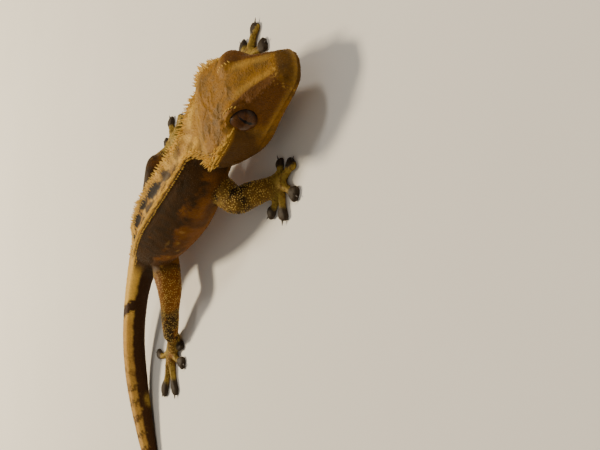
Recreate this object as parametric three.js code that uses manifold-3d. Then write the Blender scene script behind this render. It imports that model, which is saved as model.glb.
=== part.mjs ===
// Crested gecko, life size, at rest on spread feet with its head low and its tail swept to its right.
// Millimetres. The animal looks along -Y, its right side is towards -X, and it rests on z = 0.
import * as THREE from 'three';
import { mergeVertices } from 'three/addons/utils/BufferGeometryUtils.js';
import Module from 'manifold-3d';

const wasm = await Module();
wasm.setup();

// Clearance between neighbouring parts, and the overlap that a cutting shape needs
const GAP = 0.3;
const OVERCUT = 20;

// Places below are measured from a point on the floor under the hips, then moved by this much
const FOOTPRINT_SHIFT = new THREE.Vector3(18.3, 19.75, 0);

// Sides of the rounded sections
const BODY_SIDES = 24;
const TAIL_SIDES = 16;
const HEAD_SIDES = 30;
const LIMB_SIDES = 12;
const TOE_SIDES = 6;

// Crest spines: thickness at the root, how deep the root sits, how far below the crest it starts,
// and how far apart they stand
const SPINE = { radius: 0.62, depth: 0.9, sides: 4 };
const SPINE_SINK = 0.15;
const BODY_SPINE_STEP = 2.0;
const HEAD_SPINE_STEP = 1.5;
const SPINE_SEED = 7;

// Along the back the spines keep their length to the hips, then shrink until the crest ends
const CREST_END = 70;
const CREST_FADE = 30;
const CREST_LEAST_SHARE = 0.35;
const BODY_SPINE_LENGTH = { least: 0.95, extra: 0.3, base: 0.25 };
const BODY_SPINE_LEAN = { out: 0.8, extra: 0.3, back: 0.3 };

// Over the flared corners of the skull they are longest
const CORNER_SPINE_LENGTH = { base: 0.7, least: 1.1, extra: 0.3 };
const CORNER_ROW = { start: 12.6, end: 0.6, inset: 0.35, fadeFrom: 13.5, fadeOver: 9 };
const REAR_ROW = { width: 1.5, out: 10.4, up: -2.6, forward: -0.3, slant: 0.18, length: 1.3 };
const BROW_ROW = { ahead: 2.2, behind: 2.4, inward: 0.5, rise: 1.19, length: 0.8 };

// Eyes, and the opening between the lids
const EYE_RADIUS = 3.3;
const LID_THICKNESS = 0.75;
const EYE_SIDES = 16;
const LID_OPENING = { radius: 3.0, ahead: 1.2, outward: 2.85, upward: 1.25 };

// Nostrils, ear openings and the line of the mouth
const NOSTRIL = { radius: 0.5, forward: 27.4, out: 2.95, up: -5.7 };
const EAR = { radius: 0.9, forward: 4.6, out: 11.5, up: -7.6 };
const MOUTH = { depth: 0.45, height: 0.35, below: 0.35, overcut: 0.6, cornerDrop: 0.5 };

// Toes: a narrow toe opens into a broad flat pad, with a small claw past its end
const CLAW = { radius: 0.45, depth: 0.8, sides: 4 };
const CLAW_LENGTH = 1.5;
const CLAW_HEIGHT = 0.75;
const CLAW_DROP = -0.3;
const TOE_TIP_HEIGHT = 0.55;
const TOE_MIDDLE_HEIGHT = 1.0;
const TOE_CURL = 0.05;
const OUTER_TOE_SHARE = 0.8;
const HEEL_HEIGHT = 1.7;
const PALM_REACH = 1.6;

const COLOURS = {
  head: 0x9a6a3c,
  back: 0xb98d52,
  flank: 0x7d5526,
  tail: 0xa98656,
  limb: 0x6f5731,
  hand: 0xa99a63,
  eye: 0x4a1f10,
};

const at = (x, y, z) => new THREE.Vector3(x, y, z);

// Repeatable random numbers from 0 to 1
function randomSeries(seed) {
  let state = seed;
  return () => {
    state = (state * 16807) % 2147483647;
    return state / 2147483647;
  };
}

// Rows of [place, value, value, ...] read as a smooth curve through them
function smoothTable(rows) {
  const places = rows.map((row) => row[0]);
  const values = rows.flatMap((row) => row.slice(1));
  const width = rows[0].length - 1;
  const spline = new THREE.CubicInterpolant(places, values, width, new Float32Array(width));
  const last = places.length - 1;
  const within = (place) => THREE.MathUtils.clamp(place, places[0], places[last]);
  return (place) => Array.from(spline.evaluate(within(place)));
}

// Positive where the faces point outwards
function enclosedVolume(points, faces) {
  let volume = 0;
  for (let face = 0; face < faces.length; face += 3) {
    const [a, b, c] = faces.slice(face, face + 3).map((index) => points[index]);
    volume += a.dot(new THREE.Vector3().crossVectors(b, c)) / 6;
  }
  return volume;
}

// Closed surface through rings of points, with a fan of triangles over each end
function surfaceThrough(rings) {
  const sides = rings[0].length;
  const points = rings.flat();
  const faces = [];
  const centreOf = (ring) => ring.reduce((sum, p) => sum.add(p), at(0, 0, 0)).divideScalar(sides);
  const firstCentre = points.push(centreOf(rings[0])) - 1;
  const lastCentre = points.push(centreOf(rings[rings.length - 1])) - 1;
  const lastRing = (rings.length - 1) * sides;
  for (let side = 0; side < sides; side += 1) {
    const next = (side + 1) % sides;
    for (let ring = 0; ring < rings.length - 1; ring += 1) {
      const near = ring * sides;
      const far = near + sides;
      faces.push(near + side, far + side, near + next);
      faces.push(near + next, far + side, far + next);
    }
    faces.push(firstCentre, side, next);
    faces.push(lastCentre, lastRing + next, lastRing + side);
  }
  const geometry = new THREE.BufferGeometry().setFromPoints(points);
  geometry.setIndex(enclosedVolume(points, faces) < 0 ? faces.reverse() : faces);
  return geometry;
}

// Axes of a section that stands square to a path: to the animal's left, and up
function sectionAxes(tangent) {
  const left = at(tangent.y, -tangent.x, 0).normalize();
  const up = new THREE.Vector3().crossVectors(left, tangent).normalize();
  return { left, up };
}

// Half a section, from the top to the underside, as a closed smooth ring of [left, up] places
function sectionRing(half, sides) {
  const mirrored = half.slice(1, -1).reverse().map(([left, up]) => [-left, up]);
  const outline = [...half, ...mirrored].map(([left, up]) => at(left, up, 0));
  const curve = new THREE.CatmullRomCurve3(outline, true, 'centripetal');
  return Array.from({ length: sides }, (_, side) => curve.getPoint(side / sides));
}

// Closed solid along a path. ringAt gives the section's [left, up] places at a station in millimetres
function pathSolid(path, stations, ringAt) {
  const length = path.getLength();
  const rings = stations.map((station) => {
    const share = THREE.MathUtils.clamp(station / length, 0, 1);
    const centre = path.getPointAt(share);
    const { left, up } = sectionAxes(path.getTangentAt(share));
    return ringAt(station).map((p) => centre.clone().addScaledVector(left, p.x).addScaledVector(up, p.y));
  });
  return toSolid(surfaceThrough(rings));
}

function spread(from, to, count) {
  return Array.from({ length: count }, (_, index) => from + ((to - from) * index) / (count - 1));
}

function toSolid(geometry) {
  const bare = geometry.clone();
  bare.deleteAttribute('normal');
  bare.deleteAttribute('uv');
  const merged = mergeVertices(bare);
  return new wasm.Manifold(new wasm.Mesh({
    numProp: 3,
    vertProperties: merged.attributes.position.array,
    triVerts: new Uint32Array(merged.index.array),
  }));
}

// Only the largest closed surface is kept, so no scrap or sealed hollow is left
function largestBody(solid) {
  return solid.decompose().sort((a, b) => b.volume() - a.volume())[0];
}

function joined(solids) {
  return solids.reduce((whole, piece) => whole.add(piece));
}

function blockSolid(size, centre) {
  return toSolid(new THREE.BoxGeometry(size.x, size.y, size.z).translate(centre.x, centre.y, centre.z));
}

// Everything below the floor, taken off each part that rests on it, which leaves its small flats
const UNDER_FLOOR = blockSolid(at(400, 400, OVERCUT), at(0, 0, -OVERCUT / 2));

const gecko = new THREE.Group();

function addPart(name, solid, colour, roughness = 0.75) {
  const { vertProperties, triVerts } = largestBody(solid).getMesh();
  const geometry = new THREE.BufferGeometry();
  geometry.setAttribute('position', new THREE.BufferAttribute(vertProperties, 3));
  geometry.setIndex(new THREE.BufferAttribute(triVerts, 1));
  const material = new THREE.MeshStandardMaterial({ color: colour, roughness, metalness: 0 });
  const mesh = new THREE.Mesh(geometry, material);
  mesh.name = name;
  mesh.position.copy(FOOTPRINT_SHIFT);
  gecko.add(mesh);
}

// Crest spines

const random = randomSeries(SPINE_SEED);

// A spine that tapers from its sunk root to its tip, standing along a direction
function spineSolid(root, direction, length, { radius, depth, sides } = SPINE) {
  const cone = new THREE.ConeGeometry(radius, depth + length, sides);
  cone.translate(0, (length - depth) / 2, 0);
  const turn = new THREE.Quaternion().setFromUnitVectors(at(0, 1, 0), direction.clone().normalize());
  cone.applyQuaternion(turn).translate(root.x, root.y, root.z);
  return toSolid(cone);
}

// Body: one smooth form from the nape to the tip of the tail, parted by thin gaps

const BODY_PATH = new THREE.CatmullRomCurve3([
  at(-0.6, -63.0, 12.8),
  at(-1.6, -56.0, 13.6),
  at(-3.9, -45.5, 14.8),
  at(-4.3, -33.5, 14.6),
  at(-4.1, -22.2, 14.0),
  at(-3.4, -10.5, 12.2),
  at(-1.6, 0.0, 9.9),
  at(-2.2, 8.0, 9.2),
  at(-4.6, 15.4, 8.6),
  at(-9.4, 25.6, 7.4),
  at(-16.5, 35.0, 6.0),
  at(-26.6, 42.9, 4.1),
  at(-38.0, 46.5, 2.7),
  at(-50.0, 47.6, 1.9),
  at(-62.0, 47.0, 1.3),
  at(-73.0, 44.8, 0.7),
], false, 'centripetal');

// Station along the body, then back height, crest half width and height, side half width and height,
// belly half width and height, and depth of the underside
const bodySizes = smoothTable([
  [0, 4.0, 7.6, 2.6, 7.6, 0.0, 4.8, -4.8, 5.8],
  [3, 4.2, 9.6, 2.8, 7.4, -0.2, 5.0, -4.9, 5.8],
  [5, 4.4, 8.8, 3.5, 7.2, -0.3, 5.1, -4.9, 5.9],
  [7, 4.6, 6.7, 4.3, 7.1, -0.3, 5.2, -5.0, 6.0],
  [9, 4.6, 4.6, 4.8, 7.2, -0.3, 5.4, -5.1, 6.1],
  [11, 4.6, 3.5, 5.1, 7.5, -0.5, 5.7, -5.3, 6.3],
  [14, 4.7, 3.45, 5.3, 8.1, -0.7, 6.3, -5.6, 6.6],
  [19, 4.9, 3.4, 5.5, 9.0, -1.2, 7.4, -6.3, 7.5],
  [30, 5.4, 3.5, 6.0, 9.8, -1.8, 8.3, -6.8, 8.4],
  [41, 5.5, 3.4, 6.1, 9.7, -1.8, 7.9, -6.3, 8.0],
  [53, 5.0, 3.0, 5.5, 8.0, -1.3, 6.2, -5.0, 6.4],
  [64, 3.8, 2.5, 4.2, 5.6, -0.5, 4.3, -3.9, 5.0],
  [72, 3.4, 2.1, 3.6, 4.4, -0.2, 3.2, -3.3, 4.1],
  [80, 3.1, 1.7, 3.2, 3.8, 0.0, 2.7, -2.7, 3.5],
  [96, 2.9, 1.7, 2.9, 3.5, 0.0, 2.5, -2.4, 3.2],
  [114, 2.9, 1.8, 2.9, 3.5, 0.0, 2.5, -2.3, 3.1],
  [133, 2.4, 1.5, 2.4, 2.8, 0.0, 2.0, -1.8, 2.3],
  [149, 1.3, 0.8, 1.3, 1.5, 0.0, 1.1, -1.0, 1.4],
  [156, 0.9, 0.7, 0.9, 1.2, 0.0, 0.9, -0.7, 0.9],
  [160, 0.7, 1.0, 0.6, 1.8, 0.0, 1.3, -0.6, 0.8],
  [163, 0.6, 1.0, 0.5, 1.5, 0.0, 1.1, -0.5, 0.7],
  [164.5, 0.4, 0.5, 0.3, 0.7, 0.0, 0.5, -0.3, 0.5],
]);
const BODY_LENGTH = BODY_PATH.getLength();

function bodyRing(station, sides, grow = 0) {
  const [back, crestHalf, crestUp, sideHalf, sideUp, bellyHalf, bellyUp, depth] = bodySizes(station);
  return sectionRing([
    [0, back + grow],
    [crestHalf + grow, crestUp + grow],
    [sideHalf + grow, sideUp],
    [bellyHalf + grow * 0.7, bellyUp - grow * 0.7],
    [0, -depth - grow],
  ], sides);
}

// Where the body is parted, and how many sections each length has
const BODY_PARTS = [
  { name: 'neck', from: 0, to: 17, sections: 12, colour: COLOURS.back, bare: 4.2 },
  { name: 'torso_chest', from: 17, to: 35, sections: 6, colour: COLOURS.flank, bare: 0 },
  { name: 'torso_belly', from: 35, to: 55, sections: 7, colour: COLOURS.flank, bare: 0 },
  { name: 'torso_hips', from: 55, to: 73, sections: 7, colour: COLOURS.flank, bare: 0 },
  { name: 'tail_base', from: 73, to: 98, sections: 7, colour: COLOURS.tail },
  { name: 'tail_middle', from: 98, to: 127, sections: 8, colour: COLOURS.tail },
  { name: 'tail_end', from: 127, to: BODY_LENGTH, sections: 12, colour: COLOURS.tail },
];

function bodyLength(from, to, sections, sides, grow = 0) {
  return pathSolid(BODY_PATH, spread(from, to, sections), (station) => bodyRing(station, sides, grow));
}

function bodyCrest(from, to) {
  const spines = [];
  for (let station = from; station < to; station += BODY_SPINE_STEP) {
    const centre = BODY_PATH.getPointAt(station / BODY_LENGTH);
    const tangent = BODY_PATH.getTangentAt(station / BODY_LENGTH);
    const { left, up } = sectionAxes(tangent);
    const [, crestHalf, crestUp] = bodySizes(station);
    const share = THREE.MathUtils.clamp((CREST_END - station) / CREST_FADE, CREST_LEAST_SHARE, 1);
    for (const side of [-1, 1]) {
      const root = centre.clone()
        .addScaledVector(left, side * (crestHalf - SPINE_SINK))
        .addScaledVector(up, crestUp - SPINE_SINK);
      const outward = up.clone()
        .addScaledVector(left, side * (BODY_SPINE_LEAN.out + BODY_SPINE_LEAN.extra * random()))
        .addScaledVector(tangent, BODY_SPINE_LEAN.back);
      const { least, extra, base } = BODY_SPINE_LENGTH;
      spines.push(spineSolid(root, outward, (least + extra * random()) * share + base));
    }
  }
  return spines;
}

// Head: its own frame starts at the top of the back of the skull

const HEAD_ORIGIN = at(0, -60.6, 19.05);
const HEAD_FORWARD = at(-0.149, -0.985, -0.11).normalize();
const HEAD_LEFT = new THREE.Vector3().crossVectors(HEAD_FORWARD, at(0.02, 0, 1)).normalize().negate();
const HEAD_UP = new THREE.Vector3().crossVectors(HEAD_FORWARD, HEAD_LEFT).normalize();

function headPlace(forward, left, up) {
  return HEAD_ORIGIN.clone()
    .addScaledVector(HEAD_FORWARD, forward)
    .addScaledVector(HEAD_LEFT, left)
    .addScaledVector(HEAD_UP, up);
}

// Distance ahead of the back of the skull, then top, crest half width and height, cheek half width
// and height, lip half width and height, jaw half width and height, and underside
const headSizes = smoothTable([
  [-1.5, -1.8, 8.2, -3.4, 9.0, -6.2, 8.0, -8.6, 6.2, -10.8, -12.0],
  [0.5, -0.5, 11.1, -2.8, 11.2, -5.6, 9.9, -8.9, 7.8, -11.4, -12.7],
  [4.0, 0.1, 11.0, -2.0, 11.5, -5.4, 10.4, -9.3, 8.4, -12.1, -13.4],
  [8.0, 0.4, 10.3, -1.5, 11.0, -5.2, 10.2, -9.4, 8.6, -12.4, -13.8],
  [12.0, 0.4, 8.9, -1.2, 9.6, -5.0, 9.1, -9.2, 8.1, -11.9, -13.1],
  [16.0, 0.1, 6.8, -0.9, 7.8, -4.7, 7.8, -8.8, 7.0, -11.0, -12.1],
  [19.5, -0.9, 5.3, -1.8, 6.3, -5.1, 6.6, -8.5, 5.9, -10.4, -11.3],
  [23.0, -2.4, 4.1, -3.0, 5.0, -5.8, 5.4, -8.2, 4.9, -9.9, -10.6],
  [26.2, -3.9, 3.2, -4.4, 4.1, -6.4, 4.5, -7.9, 4.0, -9.3, -9.9],
  [28.3, -5.0, 2.3, -5.4, 3.0, -6.7, 3.2, -7.8, 2.8, -8.8, -9.2],
  [29.5, -6.2, 0.9, -6.5, 1.3, -7.1, 1.3, -7.6, 1.1, -8.2, -8.4],
]);

function headRing(forward, grow = 0) {
  const [top, crestHalf, crestUp, cheekHalf, cheekUp, lipHalf, lipUp, jawHalf, jawUp, under] =
    headSizes(forward);
  return sectionRing([
    [0, top + grow],
    [crestHalf + grow, crestUp + grow],
    [cheekHalf + grow, cheekUp],
    [lipHalf + grow, lipUp],
    [jawHalf + grow * 0.7, jawUp - grow * 0.7],
    [0, under - grow],
  ], HEAD_SIDES).map((p) => headPlace(forward, p.x, p.y));
}

const HEAD_STATIONS = [
  -1.5, -0.5, 0.5, 3, 5.5, 8, 10.5, 13, 15.5, 18, 20.5, 23, 25, 26.8, 28.2, 29, 29.5,
];

function headForm(grow = 0) {
  const rings = HEAD_STATIONS.map((forward) => headRing(forward, grow));
  if (grow > 0) rings[0] = rings[0].map((p) => p.addScaledVector(HEAD_FORWARD, -grow));
  return toSolid(surfaceThrough(rings));
}

function ballSolid(radius, centre, stretch, turns) {
  const ball = new THREE.SphereGeometry(radius, turns, turns / 2);
  const frame = new THREE.Matrix4().makeBasis(HEAD_FORWARD, HEAD_LEFT, HEAD_UP);
  ball.scale(stretch.x, stretch.y, stretch.z).applyMatrix4(frame);
  return toSolid(ball.translate(centre.x, centre.y, centre.z));
}

const EYE_FORWARD = 14.6;
const EYE_OUT = 5.5;
const EYE_UP = -3.3;
const eyeCentre = (side) => headPlace(EYE_FORWARD, side * EYE_OUT, EYE_UP);

// The brow and lid fold round each eye
function addLids(head) {
  const lids = [-1, 1].map((side) => (
    ballSolid(EYE_RADIUS + LID_THICKNESS, eyeCentre(side), at(1.12, 1, 1.02), 14)
  ));
  return joined([head, ...lids]);
}

// Room for each eye, and the opening between the lids through which it shows
function cutSockets(head) {
  const { radius, ahead, outward, upward } = LID_OPENING;
  const rooms = [-1, 1].flatMap((side) => {
    const opening = headPlace(EYE_FORWARD + ahead, side * (EYE_OUT + outward), EYE_UP + upward);
    return [
      ballSolid(radius, opening, at(1.05, 0.9, 0.95), EYE_SIDES),
      ballSolid(EYE_RADIUS + GAP, eyeCentre(side), at(1, 1, 1), EYE_SIDES),
    ];
  });
  return head.subtract(joined(rooms));
}

// Line of the mouth: a shallow groove that follows the lips from ear to ear round the snout
const LIP_STATIONS = [8, 12, 16, 20, 24, 27, 28.6];
const MOUTH_SECTIONS = 29;

function lipPoint(forward, side) {
  const [, , , , , lipHalf, lipUp] = headSizes(forward);
  const drop = THREE.MathUtils.clamp((12 - forward) / 8, 0, 1) * MOUTH.cornerDrop;
  return at(forward, side * lipHalf, lipUp - MOUTH.below - drop);
}

function mouthGroove() {
  const frontForward = HEAD_STATIONS[HEAD_STATIONS.length - 1];
  const front = lipPoint(frontForward, 0);
  const lipLine = new THREE.CatmullRomCurve3([
    ...LIP_STATIONS.map((forward) => lipPoint(forward, -1)),
    front,
    ...LIP_STATIONS.slice().reverse().map((forward) => lipPoint(forward, 1)),
  ], false, 'centripetal');
  const rings = spread(0, 1, MOUTH_SECTIONS).map((share) => {
    const lip = lipLine.getPointAt(share);
    const along = lipLine.getTangentAt(share);
    const outward = at(along.y, -along.x, 0).normalize();
    const inner = lip.clone().addScaledVector(outward, -MOUTH.depth);
    const outer = lip.clone().addScaledVector(outward, MOUTH.overcut);
    return [
      headPlace(inner.x, inner.y, inner.z),
      headPlace(outer.x, outer.y, outer.z + MOUTH.height),
      headPlace(outer.x, outer.y, outer.z - MOUTH.height),
    ];
  });
  return toSolid(surfaceThrough(rings));
}

const openingPlace = ({ forward, out, up }, side) => headPlace(forward, side * out, up);

// Mouth line, nostrils and ear openings
function cutOpenings(head) {
  const cuts = [-1, 1].flatMap((side) => [
    ballSolid(NOSTRIL.radius, openingPlace(NOSTRIL, side), at(1.3, 1, 0.9), 6),
    ballSolid(EAR.radius, openingPlace(EAR, side), at(0.8, 0.8, 1.7), 8),
  ]);
  return head.subtract(joined([mouthGroove(), ...cuts]));
}

// A direction in the head's own frame
function headTurn(forward, left, up) {
  return headPlace(forward, left, up).sub(HEAD_ORIGIN);
}

// From behind each eye over the flared corner
function cornerSpines(side) {
  const { start, end, inset, fadeFrom, fadeOver } = CORNER_ROW;
  const { base, least, extra } = CORNER_SPINE_LENGTH;
  const spines = [];
  for (let forward = start; forward > end; forward -= HEAD_SPINE_STEP) {
    const [, crestHalf, crestUp] = headSizes(forward);
    const root = headPlace(forward, side * (crestHalf - inset), crestUp - SPINE_SINK);
    const outward = headTurn(-0.3, side, 0.55 + 0.2 * random());
    const growth = THREE.MathUtils.clamp((fadeFrom - forward) / fadeOver, 0.25, 1);
    spines.push(spineSolid(root, outward, base + growth * (least + extra * random())));
  }
  return spines;
}

// Round the back of the skull towards the nape. Grown, they are the room that the neck leaves them
function rearSpines(side, grow = 0) {
  const { width, out, up, forward, slant, length } = REAR_ROW;
  const sizes = { ...SPINE, radius: SPINE.radius + grow * 2 };
  return spread(0, width, Math.round(width / HEAD_SPINE_STEP) + 1).map((inward) => {
    const root = headPlace(forward - slant * inward, side * (out - inward), up);
    return spineSolid(root, headTurn(-0.7, side * 0.7, 0.8), length + 0.3 * random() + grow * 2, sizes);
  });
}

// Along the brow over each eye
function browSpines(side) {
  const { ahead, behind, inward, rise, length } = BROW_ROW;
  const count = Math.round((ahead + behind) / HEAD_SPINE_STEP) + 1;
  return spread(EYE_FORWARD + ahead, EYE_FORWARD - behind, count).map((forward) => {
    const root = headPlace(forward, side * (EYE_OUT - inward), EYE_UP + EYE_RADIUS * rise);
    return spineSolid(root, headTurn(-0.2, side * 0.8, 0.8), length);
  });
}

function headCrest() {
  return [-1, 1].flatMap((side) => [...cornerSpines(side), ...rearSpines(side), ...browSpines(side)]);
}

// Limbs: one smooth form from the root to the wrist or ankle, parted at the elbow or knee

// Share of the way from root to end, then half width across and half thickness
const ARM_SIZES = smoothTable([
  [0, 3.7, 3.6], [0.25, 3.5, 3.4], [0.5, 3.1, 3.0],
  [0.68, 3.1, 2.9], [0.85, 2.9, 2.5], [1, 2.6, 2.0],
]);
const LEG_SIZES = smoothTable([
  [0, 4.0, 3.8], [0.22, 3.8, 3.6], [0.45, 3.0, 2.9],
  [0.6, 2.6, 2.5], [0.8, 2.5, 2.3], [1, 2.2, 1.9],
]);

const LIMBS = [
  {
    upper: 'upper_arm_right', lower: 'forearm_right', end: 'hand_right', sizes: ARM_SIZES,
    root: at(-7.0, -46.4, 11.6), bend: at(-14.6, -50.3, 7.6), ankle: at(-15.4, -57.2, 3.1),
    palm: at(-15.6, -60.2, 1.5), palmRadius: 2.7,
    toes: [[-10.2, -61.4], [-13.6, -66.8], [-21.4, -64.8], [-23.2, -56.6], [-19.2, -51.2]],
  },
  {
    upper: 'upper_arm_left', lower: 'forearm_left', end: 'hand_left', sizes: ARM_SIZES,
    root: at(2.6, -46.6, 12.2), bend: at(12.4, -50.0, 8.4), ankle: at(17.2, -58.4, 3.0),
    palm: at(18.6, -61.6, 1.5), palmRadius: 2.6,
    toes: [[13.0, -61.8], [17.4, -68.6], [24.6, -66.8], [24.8, -58.4], [19.8, -54.6]],
  },
  {
    upper: 'thigh_right', lower: 'shin_right', end: 'foot_right', sizes: LEG_SIZES,
    root: at(-5.8, -6.0, 8.4), bend: at(-16.0, -3.6, 7.8), ankle: at(-23.6, 12.2, 3.4),
    palm: at(-25.4, 19.2, 1.5), palmRadius: 2.6,
    toes: [[-25.8, 11.6], [-31.6, 13.1], [-37.2, 23.6], [-34.0, 32.6], [-21.4, 31.0]],
  },
  {
    upper: 'thigh_left', lower: 'shin_left', end: 'foot_left', sizes: LEG_SIZES,
    root: at(2.4, -1.6, 9.0), bend: at(18.0, -11.4, 8.6), ankle: at(24.6, -5.6, 3.2),
    palm: at(27.2, -11.8, 1.5), palmRadius: 2.6,
    toes: [[19.4, -15.6], [23.8, -20.8], [31.0, -18.6], [35.2, -10.8], [31.4, -4.0]],
  },
];

// Where a limb is parted at its bend, half the share that the gap takes, and how far a hand or foot
// reaches up its limb
const BEND_SHARE = 0.5;
const BEND_GAP_SHARE = 0.006;
const WRIST_OVERLAP = 0.12;
const LIMB_SECTIONS = 9;

function ellipseRing(half, thick, drop, sides) {
  return Array.from({ length: sides }, (_, side) => {
    const angle = ((side + 0.5) / sides) * Math.PI * 2;
    return at(Math.sin(angle) * half, Math.cos(angle) * (Math.cos(angle) > 0 ? thick : drop), 0);
  });
}

function limbSolid(limb, from, to, sections, grow = 0) {
  const middle = limb.bend.clone().lerp(limb.ankle, 0.5);
  const onward = limb.ankle.clone().sub(middle).setLength(grow);
  const path = new THREE.CatmullRomCurve3([
    limb.root,
    limb.root.clone().lerp(limb.bend, 0.55),
    limb.bend,
    middle,
    limb.ankle.clone().add(onward),
  ], false, 'centripetal');
  const length = path.getLength();
  return pathSolid(path, spread(from * length, to * length, sections), (station) => {
    const [half, thick] = limb.sizes(station / length);
    return ellipseRing(half + grow, thick + grow, thick + grow, LIMB_SIDES);
  });
}

// Room for each half of a limb: the lower half leaves it to the upper, and the foot to the lower
const upperRoom = (limb) => limbSolid(limb, 0, BEND_SHARE, LIMB_SECTIONS, GAP);
const lowerRoom = (limb) => limbSolid(limb, BEND_SHARE, 1, LIMB_SECTIONS - 1, GAP);

// Half width, height above and depth below the middle of a toe, from the palm to the tip of its pad
const TOE_SIZES = smoothTable([
  [0, 1.2, 1.1, 1.6], [0.35, 0.9, 0.9, 1.2], [0.55, 0.8, 0.75, 1.0],
  [0.66, 1.1, 0.75, 0.9], [0.84, 1.9, 0.75, 0.9], [0.95, 1.7, 0.6, 0.9], [1, 1.1, 0.35, 0.8],
]);
const TOE_STATIONS = [0, 0.52, 0.68, 0.84, 0.95, 1];

function toeSolids(palm, tipX, tipY, curl, widthShare) {
  const tip = at(tipX, tipY, TOE_TIP_HEIGHT);
  const along = tip.clone().sub(palm).setZ(0);
  const sideways = at(-along.y, along.x, 0).multiplyScalar(curl);
  const middle = palm.clone().lerp(tip, 0.55).setZ(TOE_MIDDLE_HEIGHT).add(sideways);
  const path = new THREE.CatmullRomCurve3([palm, middle, tip], false, 'centripetal');
  const length = path.getLength();
  const toe = pathSolid(path, TOE_STATIONS.map((share) => share * length), (station) => {
    const [half, thick, drop] = TOE_SIZES(station / length);
    return ellipseRing(half * widthShare, thick, drop, TOE_SIDES);
  });
  const point = path.getTangentAt(1).setZ(0).normalize();
  const claw = spineSolid(tip.clone().setZ(CLAW_HEIGHT), point.setZ(CLAW_DROP), CLAW_LENGTH, CLAW);
  return [toe, claw];
}

function footSolid(limb) {
  const [half, thick] = limb.sizes(1);
  const start = limb.ankle.clone().lerp(limb.bend, WRIST_OVERLAP);
  const heel = start.clone().lerp(limb.palm, 0.5).setZ(HEEL_HEIGHT);
  const onward = limb.palm.clone().sub(start).setZ(0).setLength(PALM_REACH);
  const beyond = limb.palm.clone().add(onward);
  const path = new THREE.CatmullRomCurve3([start, heel, limb.palm, beyond], false, 'centripetal');
  const length = path.getLength();
  const sizes = smoothTable([
    [0, half, thick, thick], [0.35, half, thick, 1.8],
    [0.75, limb.palmRadius, 1.1, 1.6], [1, limb.palmRadius * 0.7, 0.6, 1.5],
  ]);
  const palm = pathSolid(path, spread(0, length, 6), (station) => {
    const [across, above, below] = sizes(station / length);
    return ellipseRing(across, above, below, LIMB_SIDES);
  });
  const toes = limb.toes.flatMap(([x, y], index) => {
    const outermost = index === 0 || index === limb.toes.length - 1;
    return toeSolids(limb.palm, x, y, (index - 2) * TOE_CURL, outermost ? OUTER_TOE_SHARE : 1);
  });
  return joined([palm, ...toes]).subtract(lowerRoom(limb)).subtract(UNDER_FLOOR);
}

// Assembly

const skull = headForm();
const skullRoom = joined([headForm(GAP), ...rearSpines(-1, GAP), ...rearSpines(1, GAP)]);
const TRUNK_ROOM = { from: 4, to: 98, sections: 28 };
const trunkRoom = bodyLength(TRUNK_ROOM.from, TRUNK_ROOM.to, TRUNK_ROOM.sections, BODY_SIDES, GAP);
const CREST_MARGIN = 1;

const openedHead = cutOpenings(addLids(skull));
addPart('head', cutSockets(joined([openedHead, ...headCrest()])), COLOURS.head);
for (const [name, side] of [['eye_right', -1], ['eye_left', 1]]) {
  addPart(name, ballSolid(EYE_RADIUS, eyeCentre(side), at(1, 1, 1), EYE_SIDES), COLOURS.eye, 0.1);
}

BODY_PARTS.forEach(({ name, from, to, sections, colour, bare }, index) => {
  const crested = bare !== undefined;
  const start = index === 0 ? from : from + GAP / 2;
  const end = index === BODY_PARTS.length - 1 ? to : to - GAP / 2;
  const form = bodyLength(start, end, sections, crested ? BODY_SIDES : TAIL_SIDES);
  const crestTo = Math.min(to - CREST_MARGIN, CREST_END);
  const spines = crested ? bodyCrest(from + bare + CREST_MARGIN, crestTo) : [];
  addPart(name, joined([form, ...spines]).subtract(skullRoom).subtract(UNDER_FLOOR), colour);
});

for (const limb of LIMBS) {
  const upper = limbSolid(limb, 0, BEND_SHARE - BEND_GAP_SHARE, LIMB_SECTIONS);
  const lower = limbSolid(limb, BEND_SHARE + BEND_GAP_SHARE, 1, LIMB_SECTIONS);
  addPart(limb.upper, upper.subtract(trunkRoom), COLOURS.limb);
  addPart(limb.lower, lower.subtract(upperRoom(limb)), COLOURS.limb);
  addPart(limb.end, footSolid(limb), COLOURS.hand);
}

export default gecko;
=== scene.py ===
"""Crested gecko at rest, life size: one skin with its crest, scales, eyes and claws, under soft light.

Sizes are millimetres until a mesh is finished, then metres. The animal looks along -Y, its right
side is towards -X, and its feet and tail rest on z = 0.
"""

import logging
import math
from dataclasses import dataclass
from enum import Enum
from typing import Optional, Sequence

import bmesh
import bpy
import numpy as np
from mathutils import Matrix, Vector, noise
from mathutils.bvhtree import BVHTree


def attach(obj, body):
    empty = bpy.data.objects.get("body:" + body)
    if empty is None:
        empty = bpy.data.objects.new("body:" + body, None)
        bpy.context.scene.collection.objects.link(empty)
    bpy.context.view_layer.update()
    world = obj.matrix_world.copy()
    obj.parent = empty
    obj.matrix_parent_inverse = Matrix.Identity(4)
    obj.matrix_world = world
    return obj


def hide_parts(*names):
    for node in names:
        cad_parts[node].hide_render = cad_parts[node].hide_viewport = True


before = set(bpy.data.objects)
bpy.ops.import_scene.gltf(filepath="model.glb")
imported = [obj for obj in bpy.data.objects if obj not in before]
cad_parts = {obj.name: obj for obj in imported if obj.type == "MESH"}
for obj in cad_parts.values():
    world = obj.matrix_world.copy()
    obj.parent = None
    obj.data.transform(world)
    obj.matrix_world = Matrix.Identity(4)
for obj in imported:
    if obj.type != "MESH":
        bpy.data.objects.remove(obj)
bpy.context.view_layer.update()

log = logging.getLogger("gecko")

MM = 0.001
FOOTPRINT_SHIFT = np.array([18.3, 19.75, 0.0])
SIDES = (-1, 1)
TILE_BAKE = 0.003
FULL_TURN = 2 * math.pi


# Curves, tables and lofts


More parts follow.
